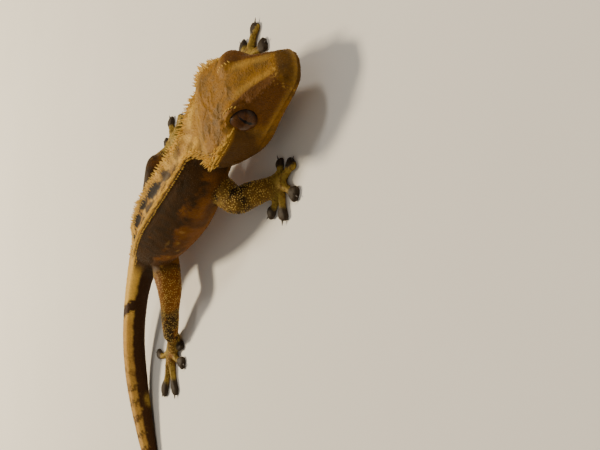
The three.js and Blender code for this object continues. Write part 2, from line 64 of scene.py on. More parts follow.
def unit(vectors: np.ndarray) -> np.ndarray:
    """Vectors at length one."""
    return vectors / np.maximum(np.linalg.norm(vectors, axis=-1, keepdims=True), 1e-9)


def ease(values: np.ndarray, low: float, high: float) -> np.ndarray:
    """Rises smoothly from 0 at low to 1 at high. With high below low it falls instead."""
    share = np.clip((values - low) / (high - low), 0.0, 1.0)
    return share * share * (3.0 - 2.0 * share)


def bell(values: np.ndarray, width: float) -> np.ndarray:
    """1 at zero, falling away over the given width."""
    return np.exp(-np.square(values / width))


def smooth_points(control: np.ndarray, shares: np.ndarray, closed: bool) -> np.ndarray:
    """Places on a centripetal curve through control points.

    Args:
        control: Points to pass through, one a row.
        shares: Where to read the curve, 0 at its start and 1 at its end.
        closed: Whether the curve returns to its start.

    Returns:
        One place for each share.
    """
    if closed:
        padded = np.vstack([control[-1], control, control[:2]])
        spans = len(control)
    else:
        padded = np.vstack([2 * control[0] - control[1], control, 2 * control[-1] - control[-2]])
        spans = len(control) - 1
    scaled = np.asarray(shares) * spans
    span = np.clip(np.floor(scaled).astype(int), 0, spans - 1)
    t = (scaled - span)[:, None]
    p0, p1, p2, p3 = (padded[span + k] for k in range(4))
    d0, d1, d2 = (
        np.sqrt(np.maximum(np.linalg.norm(b - a, axis=1), 1e-9))[:, None]
        for a, b in ((p0, p1), (p1, p2), (p2, p3))
    )
    m1 = ((p1 - p0) / d0 - (p2 - p0) / (d0 + d1) + (p2 - p1) / d1) * d1
    m2 = ((p2 - p1) / d1 - (p3 - p1) / (d1 + d2) + (p3 - p2) / d2) * d1
    h1 = 2 * t**3 - 3 * t**2 + 1
    return h1 * p1 + (t**3 - 2 * t**2 + t) * m1 + (1 - h1) * p2 + (t**3 - t**2) * m2


class SizeTable:
    """Rows of a place and its sizes, read as a smooth curve through them."""

    def __init__(self, rows: Sequence[Sequence[float]]) -> None:
        """Keeps the rows and the slope at each."""
        table = np.array(rows, float)
        self.places, self.sizes = table[:, 0], table[:, 1:]
        secants = np.diff(self.sizes, axis=0) / np.diff(self.places)[:, None]
        inner = 0.5 * (secants[:-1] + secants[1:])
        self.slopes = np.vstack([secants[:1], inner, secants[-1:]])

    def at(self, places: np.ndarray) -> np.ndarray:
        """Sizes at the given places, one row each.

        Args:
            places: Where to read the table.

        Returns:
            A row of sizes for each place.
        """
        where = np.clip(np.atleast_1d(places).astype(float), self.places[0], self.places[-1])
        row = np.clip(np.searchsorted(self.places, where, "right") - 1, 0, len(self.places) - 2)
        gap = (self.places[row + 1] - self.places[row])[:, None]
        t = (where - self.places[row])[:, None] / gap
        h1 = 2 * t**3 - 3 * t**2 + 1
        start, end = self.sizes[row], self.sizes[row + 1]
        rise = (t**3 - 2 * t**2 + t) * gap * self.slopes[row]
        settle = (t**3 - t**2) * gap * self.slopes[row + 1]
        return h1 * start + rise + (1 - h1) * end + settle


class SmoothPath:
    """A curve through points, measured along its own length."""

    def __init__(self, control: Sequence[Sequence[float]], per_span: int = 24) -> None:
        """Samples the curve closely."""
        points = np.array(control, float)
        count = (len(points) - 1) * per_span + 1
        self.samples = smooth_points(points, np.linspace(0, 1, count), closed=False)
        steps = np.linalg.norm(np.diff(self.samples, axis=0), axis=1)
        self.stations = np.concatenate([[0.0], np.cumsum(steps)])
        self.length = float(self.stations[-1])
        self.tangents = unit(np.gradient(self.samples, self.stations, axis=0))

    def _read(self, values: np.ndarray, stations: np.ndarray) -> np.ndarray:
        """Values kept at the samples, read between them."""
        return np.stack([np.interp(stations, self.stations, values[:, k]) for k in range(3)], axis=1)

    def at(self, stations: np.ndarray) -> np.ndarray:
        """Places at stations."""
        return self._read(self.samples, np.atleast_1d(stations))

    def axes(self, stations: np.ndarray) -> tuple[np.ndarray, np.ndarray, np.ndarray]:
        """Along, left and up at stations, square to one another."""
        along = unit(self._read(self.tangents, np.atleast_1d(stations)))
        left = unit(np.stack([along[:, 1], -along[:, 0], np.zeros(len(along))], axis=1))
        return along, left, unit(np.cross(left, along))

    def locate(self, points: np.ndarray) -> tuple[np.ndarray, np.ndarray, np.ndarray]:
        """Nearest station of each point, and its offset to the left and up from there.

        Args:
            points: Places, one a row.

        Returns:
            Station, left and up of each.
        """
        station = np.empty(len(points))
        square = np.sum(self.samples**2, axis=1)
        for start in range(0, len(points), 8000):
            chunk = points[start : start + 8000]
            nearest = np.argmin(square[None, :] - 2 * chunk @ self.samples.T, axis=1)
            station[start : start + 8000] = self.stations[nearest]
        _, left, up = self.axes(station)
        offset = points - self.at(station)
        return station, np.sum(offset * left, axis=1), np.sum(offset * up, axis=1)


def round_section(half: np.ndarray, sides: int) -> np.ndarray:
    """A closed section from its half outline, top to underside, as places to the left and up."""
    mirrored = half[-2:0:-1] * np.array([-1.0, 1.0])
    return smooth_points(np.vstack([half, mirrored]), np.arange(sides) / sides, closed=True)


def oval_section(half: float, above: float, below: float, sides: int) -> np.ndarray:
    """A closed oval whose top and underside have their own heights."""
    angle = (np.arange(sides) + 0.5) / sides * 2 * math.pi
    rise = np.cos(angle)
    return np.stack([np.sin(angle) * half, rise * np.where(rise > 0, above, below)], axis=1)


class Shells:
    """Closed lofts gathered into one mesh, before they are fused."""

    def __init__(self) -> None:
        """Starts empty."""
        self.points: list[np.ndarray] = []
        self.faces: list[tuple[int, ...]] = []
        self.count = 0

    def add(self, rings: np.ndarray) -> None:
        """Adds a closed loft.

        Args:
            rings: Sections in order, as (section, side, place).
        """
        sections, sides, _ = rings.shape
        first = self.count
        ends = np.stack([rings[0].mean(axis=0), rings[-1].mean(axis=0)])
        self.points += [rings.reshape(-1, 3), ends]
        self.count += sections * sides + 2
        cap, last = first + sections * sides, first + (sections - 1) * sides
        for side in range(sides):
            onward = (side + 1) % sides
            for section in range(sections - 1):
                near = first + section * sides
                far = near + sides
                self.faces.append((near + side, far + side, far + onward, near + onward))
            self.faces.append((cap, first + side, first + onward))
            self.faces.append((cap + 1, last + onward, last + side))

    def to_object(self, name: str) -> bpy.types.Object:
        """One object that holds all the lofts."""
        return mesh_object(name, np.vstack(self.points), self.faces)


def mesh_object(name: str, points: np.ndarray, faces: Sequence[Sequence[int]]) -> bpy.types.Object:
    """A mesh object in the scene, at the origin.

    Args:
        name: Its name.
        points: Places, one a row.
        faces: Each face's corners.

    Returns:
        The object.
    """
    mesh = bpy.data.meshes.new(name)
    mesh.from_pydata(np.asarray(points, float).tolist(), [], [list(face) for face in faces])
    mesh.update()
    made = bpy.data.objects.new(name, mesh)
    bpy.context.scene.collection.objects.link(made)
    return made


def read_points(mesh: bpy.types.Mesh) -> np.ndarray:
    """The places of a mesh's vertices, one a row."""
    flat = np.empty(len(mesh.vertices) * 3, np.float32)
    mesh.vertices.foreach_get("co", flat)
    return flat.reshape(-1, 3).astype(float)


def write_points(mesh: bpy.types.Mesh, points: np.ndarray) -> None:
    """Moves a mesh's vertices to new places."""
    mesh.vertices.foreach_set("co", points.astype(np.float32).ravel())
    mesh.update()


def read_normals(mesh: bpy.types.Mesh) -> np.ndarray:
    """The outward direction at each vertex."""
    flat = np.empty(len(mesh.vertices) * 3, np.float32)
    mesh.vertex_normals.foreach_get("vector", flat)
    return flat.reshape(-1, 3).astype(float)


def write_value(mesh: bpy.types.Mesh, name: str, values: np.ndarray) -> None:
    """Keeps one number for each vertex under a name."""
    attribute = mesh.attributes.new(name, "FLOAT", "POINT")
    attribute.data.foreach_set("value", values.astype(np.float32))


def evaluated_mesh(piece: bpy.types.Object) -> bpy.types.Mesh:
    """The mesh that a piece's modifiers make, as a plain mesh."""
    graph = bpy.context.evaluated_depsgraph_get()
    return bpy.data.meshes.new_from_object(piece.evaluated_get(graph))


def cloud(points: np.ndarray, size: float, seed: float) -> np.ndarray:
    """Smooth noise from -1 to 1 at points, with lumps of about the given size."""
    return np.array([noise.noise(Vector(p)) for p in points / size + seed])


# Forms of the animal


@dataclass(frozen=True)
class Trunk:
    """Neck, body and tail as one form along a curved path."""

    path: SmoothPath
    sizes: SizeTable
    crest_end: float = 70.0
    crest_fade: float = 30.0
    crest_least: float = 0.35

    def rings(self, step: float = 0.5, sides: int = 64) -> np.ndarray:
        """Sections from the nape to the tip of the tail.

        Args:
            step: Distance between sections.
            sides: Sides of each.

        Returns:
            Sections, as (section, side, place).
        """
        stations = np.append(np.arange(0.0, self.path.length, step), self.path.length)
        centre = self.path.at(stations)
        _, left, up = self.path.axes(stations)
        made = []
        for row, size in enumerate(self.sizes.at(stations)):
            half = np.array([[0, size[0]], size[1:3], size[3:5], size[5:7], [0, -size[7]]])
            ring = round_section(half, sides)
            made.append(centre[row] + ring[:, :1] * left[row] + ring[:, 1:] * up[row])
        return np.stack(made)

    def excess(self, station: np.ndarray, left: np.ndarray, up: np.ndarray) -> np.ndarray:
        """About how far places lie outside the form."""
        sizes = self.sizes.at(station)
        height = np.where(up > 0, sizes[:, 0], sizes[:, 7])
        radial = np.hypot(left / sizes[:, 3], up / height)
        return (radial - 1) * np.minimum(sizes[:, 3], height)

    def crest_share(self, station: np.ndarray) -> np.ndarray:
        """How much of their full length the crest's spines have at a station."""
        return np.clip((self.crest_end - station) / self.crest_fade, self.crest_least, 1.0)


@dataclass(frozen=True)
class Eye:
    """An eye, its place in the head and the opening between its lids."""

    radius: float = 3.3
    lid: float = 0.75
    forward: float = 14.6
    out: float = 5.5
    up: float = -3.3
    looks: tuple[tuple[float, float, float], ...] = ((0.25, -0.92, 0.28), (0.0, 0.98, -0.1))
    halves: tuple[tuple[float, float], ...] = ((1.24, 1.06), (1.0, 0.7))

    def axes(self, side: int) -> tuple[np.ndarray, np.ndarray, np.ndarray, np.ndarray]:
        """Centre, outward look, ahead and above, in the head's own frame."""
        centre = np.array([self.forward, side * self.out, self.up])
        look = unit(np.array(self.looks[max(side, 0)]))
        ahead = unit(np.array([1.0, 0.0, 0.0]) - look[0] * look)
        above = np.cross(ahead, look)
        return centre, look, ahead, above if above[2] > 0 else -above

    def opening(self, local: np.ndarray, side: int) -> tuple[np.ndarray, np.ndarray, np.ndarray]:
        """Distance from the eye's centre, the share of the way to the lids' edge, and height.

        Args:
            local: Places in the head's frame.
            side: -1 for the right, 1 for the left.

        Returns:
            Distance, share of the opening, and share upwards.
        """
        centre, look, ahead, above = self.axes(side)
        offset = local - centre
        reach = np.linalg.norm(offset, axis=1)
        way = offset / np.maximum(reach, 1e-6)[:, None]
        onward, higher = way @ ahead, way @ above
        angle = np.arccos(np.clip(way @ look, -1.0, 1.0)) / np.maximum(np.hypot(onward, higher), 1e-6)
        half_ahead, half_above = self.halves[max(side, 0)]
        across, upward = angle * onward / half_ahead, angle * higher / half_above
        return reach, np.hypot(across, upward), upward


class Head:
    """The head, in its own frame of forward, left and up from the top of the back of the skull."""

    def __init__(
        self, origin: Sequence[float], forward: Sequence[float], sizes: SizeTable, eye: Eye
    ) -> None:
        """Sets the head's frame."""
        self.origin = np.array(origin, float)
        ahead = unit(np.array(forward, float))
        left = -unit(np.cross(ahead, np.array([0.02, 0.0, 1.0])))
        self.basis = np.stack([ahead, left, unit(np.cross(ahead, left))])
        self.sizes = sizes
        self.eye = eye
        self.back, self.front = float(sizes.places[0]), float(sizes.places[-1])

    def place(self, local: np.ndarray) -> np.ndarray:
        """Places in the animal's frame of places in the head's."""
        return self.origin + np.asarray(local) @ self.basis

    def local(self, points: np.ndarray) -> np.ndarray:
        """Places in the head's frame of places in the animal's."""
        return (points - self.origin) @ self.basis.T

    def rings(self, step: float = 0.4, sides: int = 72) -> np.ndarray:
        """Sections from the back of the skull to the snout.

        Args:
            step: Distance between sections.
            sides: Sides of each.

        Returns:
            Sections, as (section, side, place).
        """
        stations = np.append(np.arange(self.back, self.front, step), self.front)
        made = []
        for forward, row in zip(stations, self.sizes.at(stations)):
            half = np.array([[0, row[0]], row[1:3], row[3:5], row[5:7], row[7:9], [0, row[9]]])
            ring = round_section(half, sides)
            made.append(self.place(np.column_stack([np.full(sides, forward), ring])))
        return np.stack(made)

    def lid_rings(self, side: int, sides: int = 40) -> np.ndarray:
        """The rounded brow and lids over one eye."""
        radius = self.eye.radius + self.eye.lid
        centre = np.array([self.eye.forward, side * self.eye.out, self.eye.up])
        stretch = np.array([1.12, 1.0, 1.02]) * radius
        polar = np.linspace(0.02, math.pi - 0.02, 30)
        turn = np.arange(sides) / sides * FULL_TURN
        across = np.sin(polar)[:, None]
        ball = np.stack([
            across * np.cos(turn),
            np.broadcast_to(np.cos(polar)[:, None], (30, sides)),
            across * np.sin(turn),
        ], axis=2)
        return self.place(centre + ball * stretch)

    def lip_height(self, forward: np.ndarray) -> np.ndarray:
        """Height of the line of the mouth."""
        drop = np.clip((12 - forward) / 8, 0, 1) * 0.5
        return self.sizes.at(forward)[:, 6] - 0.35 - drop


@dataclass(frozen=True)
class Limb:
    """An arm or leg with its hand or foot."""

    name: str
    root: tuple[float, float, float]
    bend: tuple[float, float, float]
    ankle: tuple[float, float, float]
    palm: tuple[float, float, float]
    palm_radius: float
    toes: tuple[tuple[float, float], ...]
    sizes: SizeTable
    fore: bool

    def path(self) -> SmoothPath:
        """The limb's middle line, from its root to the wrist or ankle."""
        root, bend, ankle = (np.array(p) for p in (self.root, self.bend, self.ankle))
        return SmoothPath([root, root + 0.55 * (bend - root), bend, 0.5 * (bend + ankle), ankle])

    def rings(self, sides: int = 32) -> np.ndarray:
        """Sections of the limb."""
        path = self.path()
        return sweep(path, self.sizes.at(np.linspace(0, 1, 60)), sides)

    def palm_path(self) -> SmoothPath:
        """From inside the wrist or ankle over the palm."""
        bend, ankle, palm = (np.array(p) for p in (self.bend, self.ankle, self.palm))
        start = ankle + 0.12 * (bend - ankle)
        heel = 0.5 * (start + palm)
        heel[2] = HEEL_HEIGHT
        onward = (palm - start) * np.array([1, 1, 0])
        return SmoothPath([start, heel, palm, palm + unit(onward) * 1.6])

    def palm_rings(self, sides: int = 32) -> np.ndarray:
        """Sections of the palm."""
        half, thick = self.sizes.at(1.0)[0]
        sizes = SizeTable([
            [0, half, thick, thick], [0.35, half, thick, 1.8],
            [0.75, self.palm_radius, 1.1, 1.6], [1, self.palm_radius * 0.7, 0.6, 1.5],
        ])
        return sweep(self.palm_path(), sizes.at(np.linspace(0, 1, 30)), sides)

    def toe_paths(self) -> list[SmoothPath]:
        """The middle line of each toe, from the palm to the tip of its pad."""
        palm = np.array(self.palm)
        paths = []
        for index, (x, y) in enumerate(self.toes):
            tip = np.array([x, y, PAD_HEIGHT])
            along = (tip - palm) * np.array([1, 1, 0])
            middle = palm + 0.55 * (tip - palm)
            middle[2] = TOE_HEIGHT
            middle += np.array([-along[1], along[0], 0]) * (index - 2) * 0.05
            paths.append(SmoothPath([palm, middle, tip]))
        return paths


def sweep(path: SmoothPath, sizes: np.ndarray, sides: int) -> np.ndarray:
    """Oval sections along a whole path.

    Args:
        path: The middle line.
        sizes: Half width, height above and, where it differs, depth below, a row a section.
        sides: Sides of each section.

    Returns:
        Sections in order, as (section, side, place).
    """
    stations = np.linspace(0, path.length, len(sizes))
    centre = path.at(stations)
    _, left, up = path.axes(stations)
    made = []
    for row, size in enumerate(sizes):
        ring = oval_section(size[0], size[1], size[-1], sides)
        made.append(centre[row] + ring[:, :1] * left[row] + ring[:, 1:] * up[row])
    return np.stack(made)


TOE_SIZES = SizeTable([
    [0, 1.2, 1.1, 1.6], [0.35, 0.9, 0.9, 1.2], [0.55, 0.8, 0.75, 1.0],
    [0.66, 1.1, 0.75, 0.9], [0.84, 1.9, 0.75, 0.9], [0.95, 1.7, 0.6, 0.9], [1, 1.1, 0.35, 0.8],
])
TOE_WIDTHS = (0.8, 1.0, 1.0, 1.0, 0.8)
PAD_HEIGHT = 0.55
TOE_HEIGHT = 1.0
HEEL_HEIGHT = 1.7


class Gecko:
    """The whole animal's named sizes and forms."""

    def __init__(self) -> None:
        """Builds each form from its sizes."""
        self.trunk = self._trunk()
        self.head = self._head()
        self.limbs = self._limbs()

    @staticmethod
    def _trunk() -> Trunk:
        """Neck, body and tail."""
        path = SmoothPath([
            [-0.6, -63.0, 12.8], [-1.6, -56.0, 13.6], [-3.9, -45.5, 14.8], [-4.3, -33.5, 14.6],
            [-4.1, -22.2, 14.0], [-3.4, -10.5, 12.2], [-1.6, 0.0, 9.9], [-2.2, 8.0, 9.2],
            [-4.6, 15.4, 8.6], [-9.4, 25.6, 7.4], [-16.5, 35.0, 6.0], [-26.6, 42.9, 4.1],
            [-38.0, 46.5, 2.7], [-50.0, 47.6, 1.9], [-62.0, 47.0, 1.3], [-73.0, 44.8, 0.7],
        ])
        sizes = SizeTable([
            [0, 4.0, 7.6, 2.6, 7.6, 0.0, 4.8, -4.8, 5.8],
            [3, 4.2, 9.6, 2.8, 7.4, -0.2, 5.0, -4.9, 5.8],
            [5, 4.4, 8.8, 3.5, 7.2, -0.3, 5.1, -4.9, 5.9],
            [7, 4.6, 6.7, 4.3, 7.1, -0.3, 5.2, -5.0, 6.0],
            [9, 4.6, 4.6, 4.8, 7.2, -0.3, 5.4, -5.1, 6.1],
            [11, 4.6, 3.5, 5.1, 7.5, -0.5, 5.7, -5.3, 6.3],
            [14, 4.7, 3.45, 5.3, 8.1, -0.7, 6.3, -5.6, 6.6],
            [19, 4.9, 3.4, 5.5, 9.0, -1.2, 7.4, -6.3, 7.5],
            [30, 5.4, 3.5, 6.0, 9.8, -1.8, 8.3, -6.8, 8.4],
            [41, 5.5, 3.4, 6.1, 9.7, -1.8, 7.9, -6.3, 8.0],
            [53, 5.0, 3.0, 5.5, 8.0, -1.3, 6.2, -5.0, 6.4],
            [64, 3.8, 2.5, 4.2, 5.6, -0.5, 4.3, -3.9, 5.0],
            [72, 3.4, 2.1, 3.6, 4.4, -0.2, 3.2, -3.3, 4.1],
            [80, 3.1, 1.7, 3.2, 3.8, 0.0, 2.7, -2.7, 3.5],
            [96, 2.9, 1.7, 2.9, 3.5, 0.0, 2.5, -2.4, 3.2],
            [114, 2.9, 1.8, 2.9, 3.5, 0.0, 2.5, -2.3, 3.1],
            [133, 2.4, 1.5, 2.4, 2.8, 0.0, 2.0, -1.8, 2.3],
            [149, 1.3, 0.8, 1.3, 1.5, 0.0, 1.1, -1.0, 1.4],
            [156, 0.9, 0.7, 0.9, 1.2, 0.0, 0.9, -0.7, 0.9],
            [160, 0.7, 1.0, 0.6, 1.8, 0.0, 1.3, -0.6, 0.8],
            [163, 0.6, 1.0, 0.5, 1.5, 0.0, 1.1, -0.5, 0.7],
            [164.5, 0.4, 0.5, 0.3, 0.7, 0.0, 0.5, -0.3, 0.5],
        ])
        return Trunk(path, sizes)

    @staticmethod
    def _head() -> Head:
        """The head and its eyes."""
        sizes = SizeTable([
            [-1.5, -1.8, 8.2, -3.4, 9.0, -6.2, 8.0, -8.6, 6.2, -10.8, -12.0],
            [0.5, -0.5, 11.1, -2.8, 11.2, -5.6, 9.9, -8.9, 7.8, -11.4, -12.7],
            [4.0, 0.1, 11.0, -2.0, 11.5, -5.4, 10.4, -9.3, 8.4, -12.1, -13.4],
            [8.0, 0.4, 10.3, -1.5, 11.0, -5.2, 10.2, -9.4, 8.6, -12.4, -13.8],
            [12.0, 0.4, 8.9, -1.2, 9.6, -5.0, 9.1, -9.2, 8.1, -11.9, -13.1],
            [16.0, 0.1, 6.8, -0.9, 7.8, -4.7, 7.8, -8.8, 7.0, -11.0, -12.1],
            [19.5, -0.9, 5.3, -1.8, 6.3, -5.1, 6.6, -8.5, 5.9, -10.4, -11.3],
            [23.0, -2.4, 4.1, -3.0, 5.0, -5.8, 5.4, -8.2, 4.9, -9.9, -10.6],
            [26.2, -3.9, 3.2, -4.4, 4.1, -6.4, 4.5, -7.9, 4.0, -9.3, -9.9],
            [28.3, -5.0, 2.3, -5.4, 3.0, -6.7, 3.2, -7.8, 2.8, -8.8, -9.2],
            [29.5, -6.2, 0.9, -6.5, 1.3, -7.1, 1.3, -7.6, 1.1, -8.2, -8.4],
        ])
        return Head([0, -60.6, 19.05], [-0.149, -0.985, -0.11], sizes, Eye())

    @staticmethod
    def _limbs() -> list[Limb]:
        """Both arms and both legs."""
        arm = SizeTable([
            [0, 3.7, 3.6], [0.25, 3.5, 3.4], [0.5, 3.1, 3.0], [0.68, 3.1, 2.9],
            [0.85, 2.9, 2.5], [1, 2.6, 2.0],
        ])
        leg = SizeTable([
            [0, 4.0, 3.8], [0.22, 3.8, 3.6], [0.45, 3.0, 2.9], [0.6, 2.6, 2.5],
            [0.8, 2.5, 2.3], [1, 2.2, 1.9],
        ])
        return [
            Limb(
                "arm_right", (-7.0, -46.4, 11.6), (-14.6, -50.3, 7.6), (-15.4, -57.2, 3.1),
                (-15.6, -60.2, 1.5), 2.7,
                ((-10.2, -61.4), (-13.6, -66.8), (-21.4, -64.8), (-23.2, -56.6), (-19.2, -51.2)),
                arm, True,
            ),
            Limb(
                "arm_left", (2.6, -46.6, 12.2), (12.4, -50.0, 8.4), (17.2, -58.4, 3.0),
                (18.6, -61.6, 1.5), 2.6,
                ((13.0, -61.8), (17.4, -68.6), (24.6, -66.8), (24.8, -58.4), (19.8, -54.6)),
                arm, True,
            ),
            Limb(
                "leg_right", (-5.8, -6.0, 8.4), (-16.0, -3.6, 7.8), (-23.6, 12.2, 3.4),
                (-25.4, 19.2, 1.5), 2.6,
                ((-25.8, 11.6), (-31.6, 13.1), (-37.2, 23.6), (-34.0, 32.6), (-21.4, 31.0)),
                leg, False,
            ),
            Limb(
                "leg_left", (2.4, -1.6, 9.0), (18.0, -11.4, 8.6), (24.6, -5.6, 3.2),
                (27.2, -11.8, 1.5), 2.6,
                ((19.4, -15.6), (23.8, -20.8), (31.0, -18.6), (35.2, -10.8), (31.4, -4.0)),
                leg, False,
            ),
        ]


# Where each point of the skin lies on the animal, and the markings it carries there


class Region(Enum):
    """The skin's regions, each with its own scales."""

    HEAD = "head"
    TRUNK = "trunk"
    TAIL = "tail"
    LIMBS = "limbs"
    FEET = "feet"


@dataclass(frozen=True)
class Mark:
    """A blotch on the back or tail, in body stations and millimetres to the left."""

    station: float
    left: float
    length: float
    width: float
    slant: float = 0.0
    strength: float = 1.0


BACK_MARKS = (
    Mark(9.5, -1.4, 1.8, 1.2, 0.2, 0.45),
    Mark(14.0, 1.5, 2.1, 1.2, -0.2, 0.5),
    Mark(17.0, -1.2, 2.5, 1.3, 0.2, 0.7),
    Mark(21.0, 0.6, 2.5, 1.7, 0.3, 0.9),
    Mark(23.0, -1.6, 1.7, 1.2, -0.2, 0.8),
    Mark(29.5, 1.3, 5.1, 1.3, 0.1, 1.0),
    Mark(34.0, -0.4, 3.7, 1.0, 0.14, 0.9),
    Mark(37.0, 1.9, 3.4, 1.0, 0.05, 1.0),
    Mark(40.5, -1.2, 3.4, 0.9, 0.12, 0.9),
    Mark(45.0, 1.4, 4.8, 1.2, 0.05, 1.0),
    Mark(51.0, -0.3, 3.7, 1.0, 0.12, 0.9),
    Mark(57.5, 0.9, 5.1, 1.2, 0.04, 1.0),
    Mark(65.0, 0.3, 4.8, 1.0, 0.05, 0.9),
)

# The dark break round the tail: its station at the middle, and how far it slants to one side
TAIL_BREAK = 91.0
BREAK_SLANT = 1.4

# How far the snout's markings lie to the left, and where they end against the cheek
SNOUT_SHIFT = 0.8
SNOUT_EDGE = 0.68

# Creases over the back of the head, as places forward and to the left of its origin
HEAD_CREASES = (
    ((4.3, 6.6), (4.5, 4.9), (5.1, 2.2), (6.6, -0.4), (4.8, -2.5), (3.5, -3.9), (3.3, -6.4)),
    ((14.4, -0.6), (12.9, -1.4), (11.8, -2.3), (11.2, -3.4), (10.7, -4.6)),
    ((8.3, 1.4), (7.9, -0.4), (8.5, -1.9), (9.7, -3.6)),
    ((2.0, 3.4), (1.4, 0.8), (2.2, -1.8), (1.6, -5.0)),
    ((6.6, -4.6), (6.0, -6.4), (6.8, -8.0)),
)


class SkinMap:
    """Reads each point's place on the animal: body station, head place, limb and toe."""

    def __init__(self, gecko: Gecko, points: np.ndarray) -> None:
        """Measures points, in millimetres in the hips' frame."""
        self.gecko, self.points = gecko, points
        self.station, self.left, self.up = gecko.trunk.path.locate(points)
        self.body_excess = gecko.trunk.excess(self.station, self.left, self.up)
        self.head_local = gecko.head.local(points)
        self._measure_limbs()
        self._measure_shares()

    def _measure_limbs(self) -> None:
        """Nearest limb, how far along it, and how far along a toe."""
        count = len(self.points)
        self.limb_excess = np.full(count, 99.0)
        self.limb_index = np.zeros(count, int)
        self.limb_along = np.zeros(count)
        self.limb_angle = np.zeros(count)
        self.foot_excess = np.full(count, 99.0)
        self.toe_along = np.zeros(count)
        self.toe_side = np.zeros(count)
        self.foot_index = np.zeros(count, int)
        for index, limb in enumerate(self.gecko.limbs):
            path = limb.path()
            station, left, up = path.locate(self.points)
            share = station / path.length
            half, thick = limb.sizes.at(share).T
            gap = np.hypot(left, up) - 0.5 * (half + thick)
            near = gap < self.limb_excess
            self.limb_excess[near] = gap[near]
            self.limb_index[near] = index
            self.limb_along[near] = share[near]
            self.limb_angle[near] = np.arctan2(left, up)[near]
            self._measure_foot(index, limb)

    def _measure_foot(self, index: int, limb: Limb) -> None:
        """Nearest palm or toe of one limb."""
        palm = limb.palm_path()
        station, left, up = palm.locate(self.points)
        gap = np.hypot(left, up) - limb.palm_radius * 0.8
        gap[station < 0.25 * palm.length] += 2.0
        near = gap < self.foot_excess
        self.foot_excess[near] = gap[near]
        self.foot_index[near] = index
        self.toe_along[near] = 0.0
        for path, width in zip(limb.toe_paths(), TOE_WIDTHS):
            station, left, up = path.locate(self.points)
            share = station / path.length
            half = TOE_SIZES.at(share)[:, 0] * width
            gap = np.hypot(left, up) - half
            near = (gap < self.foot_excess) & (share > 0.2)
            self.foot_excess[near] = gap[near]
            self.foot_index[near] = index
            self.toe_along[near] = share[near]
            self.toe_side[near] = (left / half)[near]

    def _measure_shares(self) -> None:
        """How much each point belongs to the head, tail, limbs and feet."""
        forward, left, up = self.head_local.T
        sizes = self.gecko.head.sizes.at(forward)
        head_excess = np.hypot(left / sizes[:, 3], (up + 6.3) / 7.6) - 1
        in_head = ease(forward, -2.2, 0.2) * (head_excess < 0.35)
        limb_gap = np.minimum(self.limb_excess, self.foot_excess)
        owned = ease(self.body_excess - limb_gap, -0.6, 1.6) * (in_head < 0.5)
        fore = np.array([limb.fore for limb in self.gecko.limbs])[self.limb_index]
        clear = np.where(fore, ease(self.limb_along, 0.2, 0.32), ease(self.limb_along, 0.12, 0.22))
        owned = owned * np.maximum(clear, ease(self.limb_excess - self.foot_excess, 0.0, 0.7))
        self.limb = owned
        self.foot = owned * ease(self.limb_excess - self.foot_excess, -0.9, 0.7)
        self.foot *= np.where(self.foot_excess < 2.5, 1.0, 0.0)
        self.head = in_head
        self.tail = ease(self.station, 66.0, 76.0) * (1 - owned) * (1 - in_head)
        self.pad = self.foot * ease(self.toe_along, 0.58, 0.68)

    def region(self) -> np.ndarray:
        """The index of each point's region, in the order of Region."""
        made = np.ones(len(self.points), int)
        made[self.tail > 0.5] = 2
        made[self.limb > 0.5] = 3
        made[self.foot > 0.5] = 4
        made[self.head > 0.5] = 0
        return made

    def bake_places(self) -> np.ndarray:
        """Each point's place on an unwrap of the skin: body, head, limbs and feet side by side."""
        around = np.arctan2(self.left, self.up) / FULL_TURN
        place = np.stack([0.02 + 0.96 * self.station / 166.0, 0.68 + 0.6 * around], axis=1)
        forward, left, up = self.head_local.T
        head_around = np.arctan2(left, up + 5.6) / FULL_TURN
        head = np.stack([0.02 + 0.009 * (forward + 2), 0.16 + 0.28 * head_around], axis=1)
        limb = np.stack([
            0.36 + 0.24 * self.limb_along,
            0.045 + 0.08 * self.limb_index + 0.07 * self.limb_angle / FULL_TURN,
        ], axis=1)
        middle = np.array([limb.palm[:2] for limb in self.gecko.limbs])[self.foot_index]
        spread = (self.points[:, :2] - middle) * 0.007
        corner = np.array([[0.72, 0.08], [0.90, 0.08], [0.72, 0.25], [0.90, 0.25]])[self.foot_index]
        kind = self.region()
        place[kind == 0] = head[kind == 0]
        place[kind == 3] = limb[kind == 3]
        place[kind == 4] = (corner + spread)[kind == 4]
        return np.clip(place, 0.004, 0.996)

    def values(self) -> dict[str, np.ndarray]:
        """The markings, each from 0 to 1."""
        trunk = (1 - self.head) * (1 - self.limb)
        sizes = self.gecko.trunk.sizes.at(self.station)
        crest_half, crest_up = sizes[:, 1], sizes[:, 2]
        side = np.abs(self.left) / crest_half
        on_top = ease(self.up, crest_up - 1.6, crest_up - 0.7) * (self.up > 0)
        crown = ease(side, 1.14, 0.98) * on_top * trunk
        drop = np.clip((crest_up - self.up) / (crest_up + sizes[:, 7]), 0, 1)
        made = {
            "crown": crown,
            "drop": drop * trunk,
            "head_part": self.head,
            "tail_part": self.tail,
            "limb_part": self.limb,
            "foot_part": self.foot,
            "pad_part": self.pad,
            "limb_along": self.limb_along,
            "body_along": self.station / 165.0,
        }
        made["dark_mark"] = self._dark_marks(crown, trunk)
        made["pale_mark"] = self._pale_marks(drop, trunk)
        made["rust_mark"] = self._rust_marks(drop, trunk)
        made["scale_cover"] = self._scale_cover()
        made["scale_girth"] = self._scale_girth()
        return made

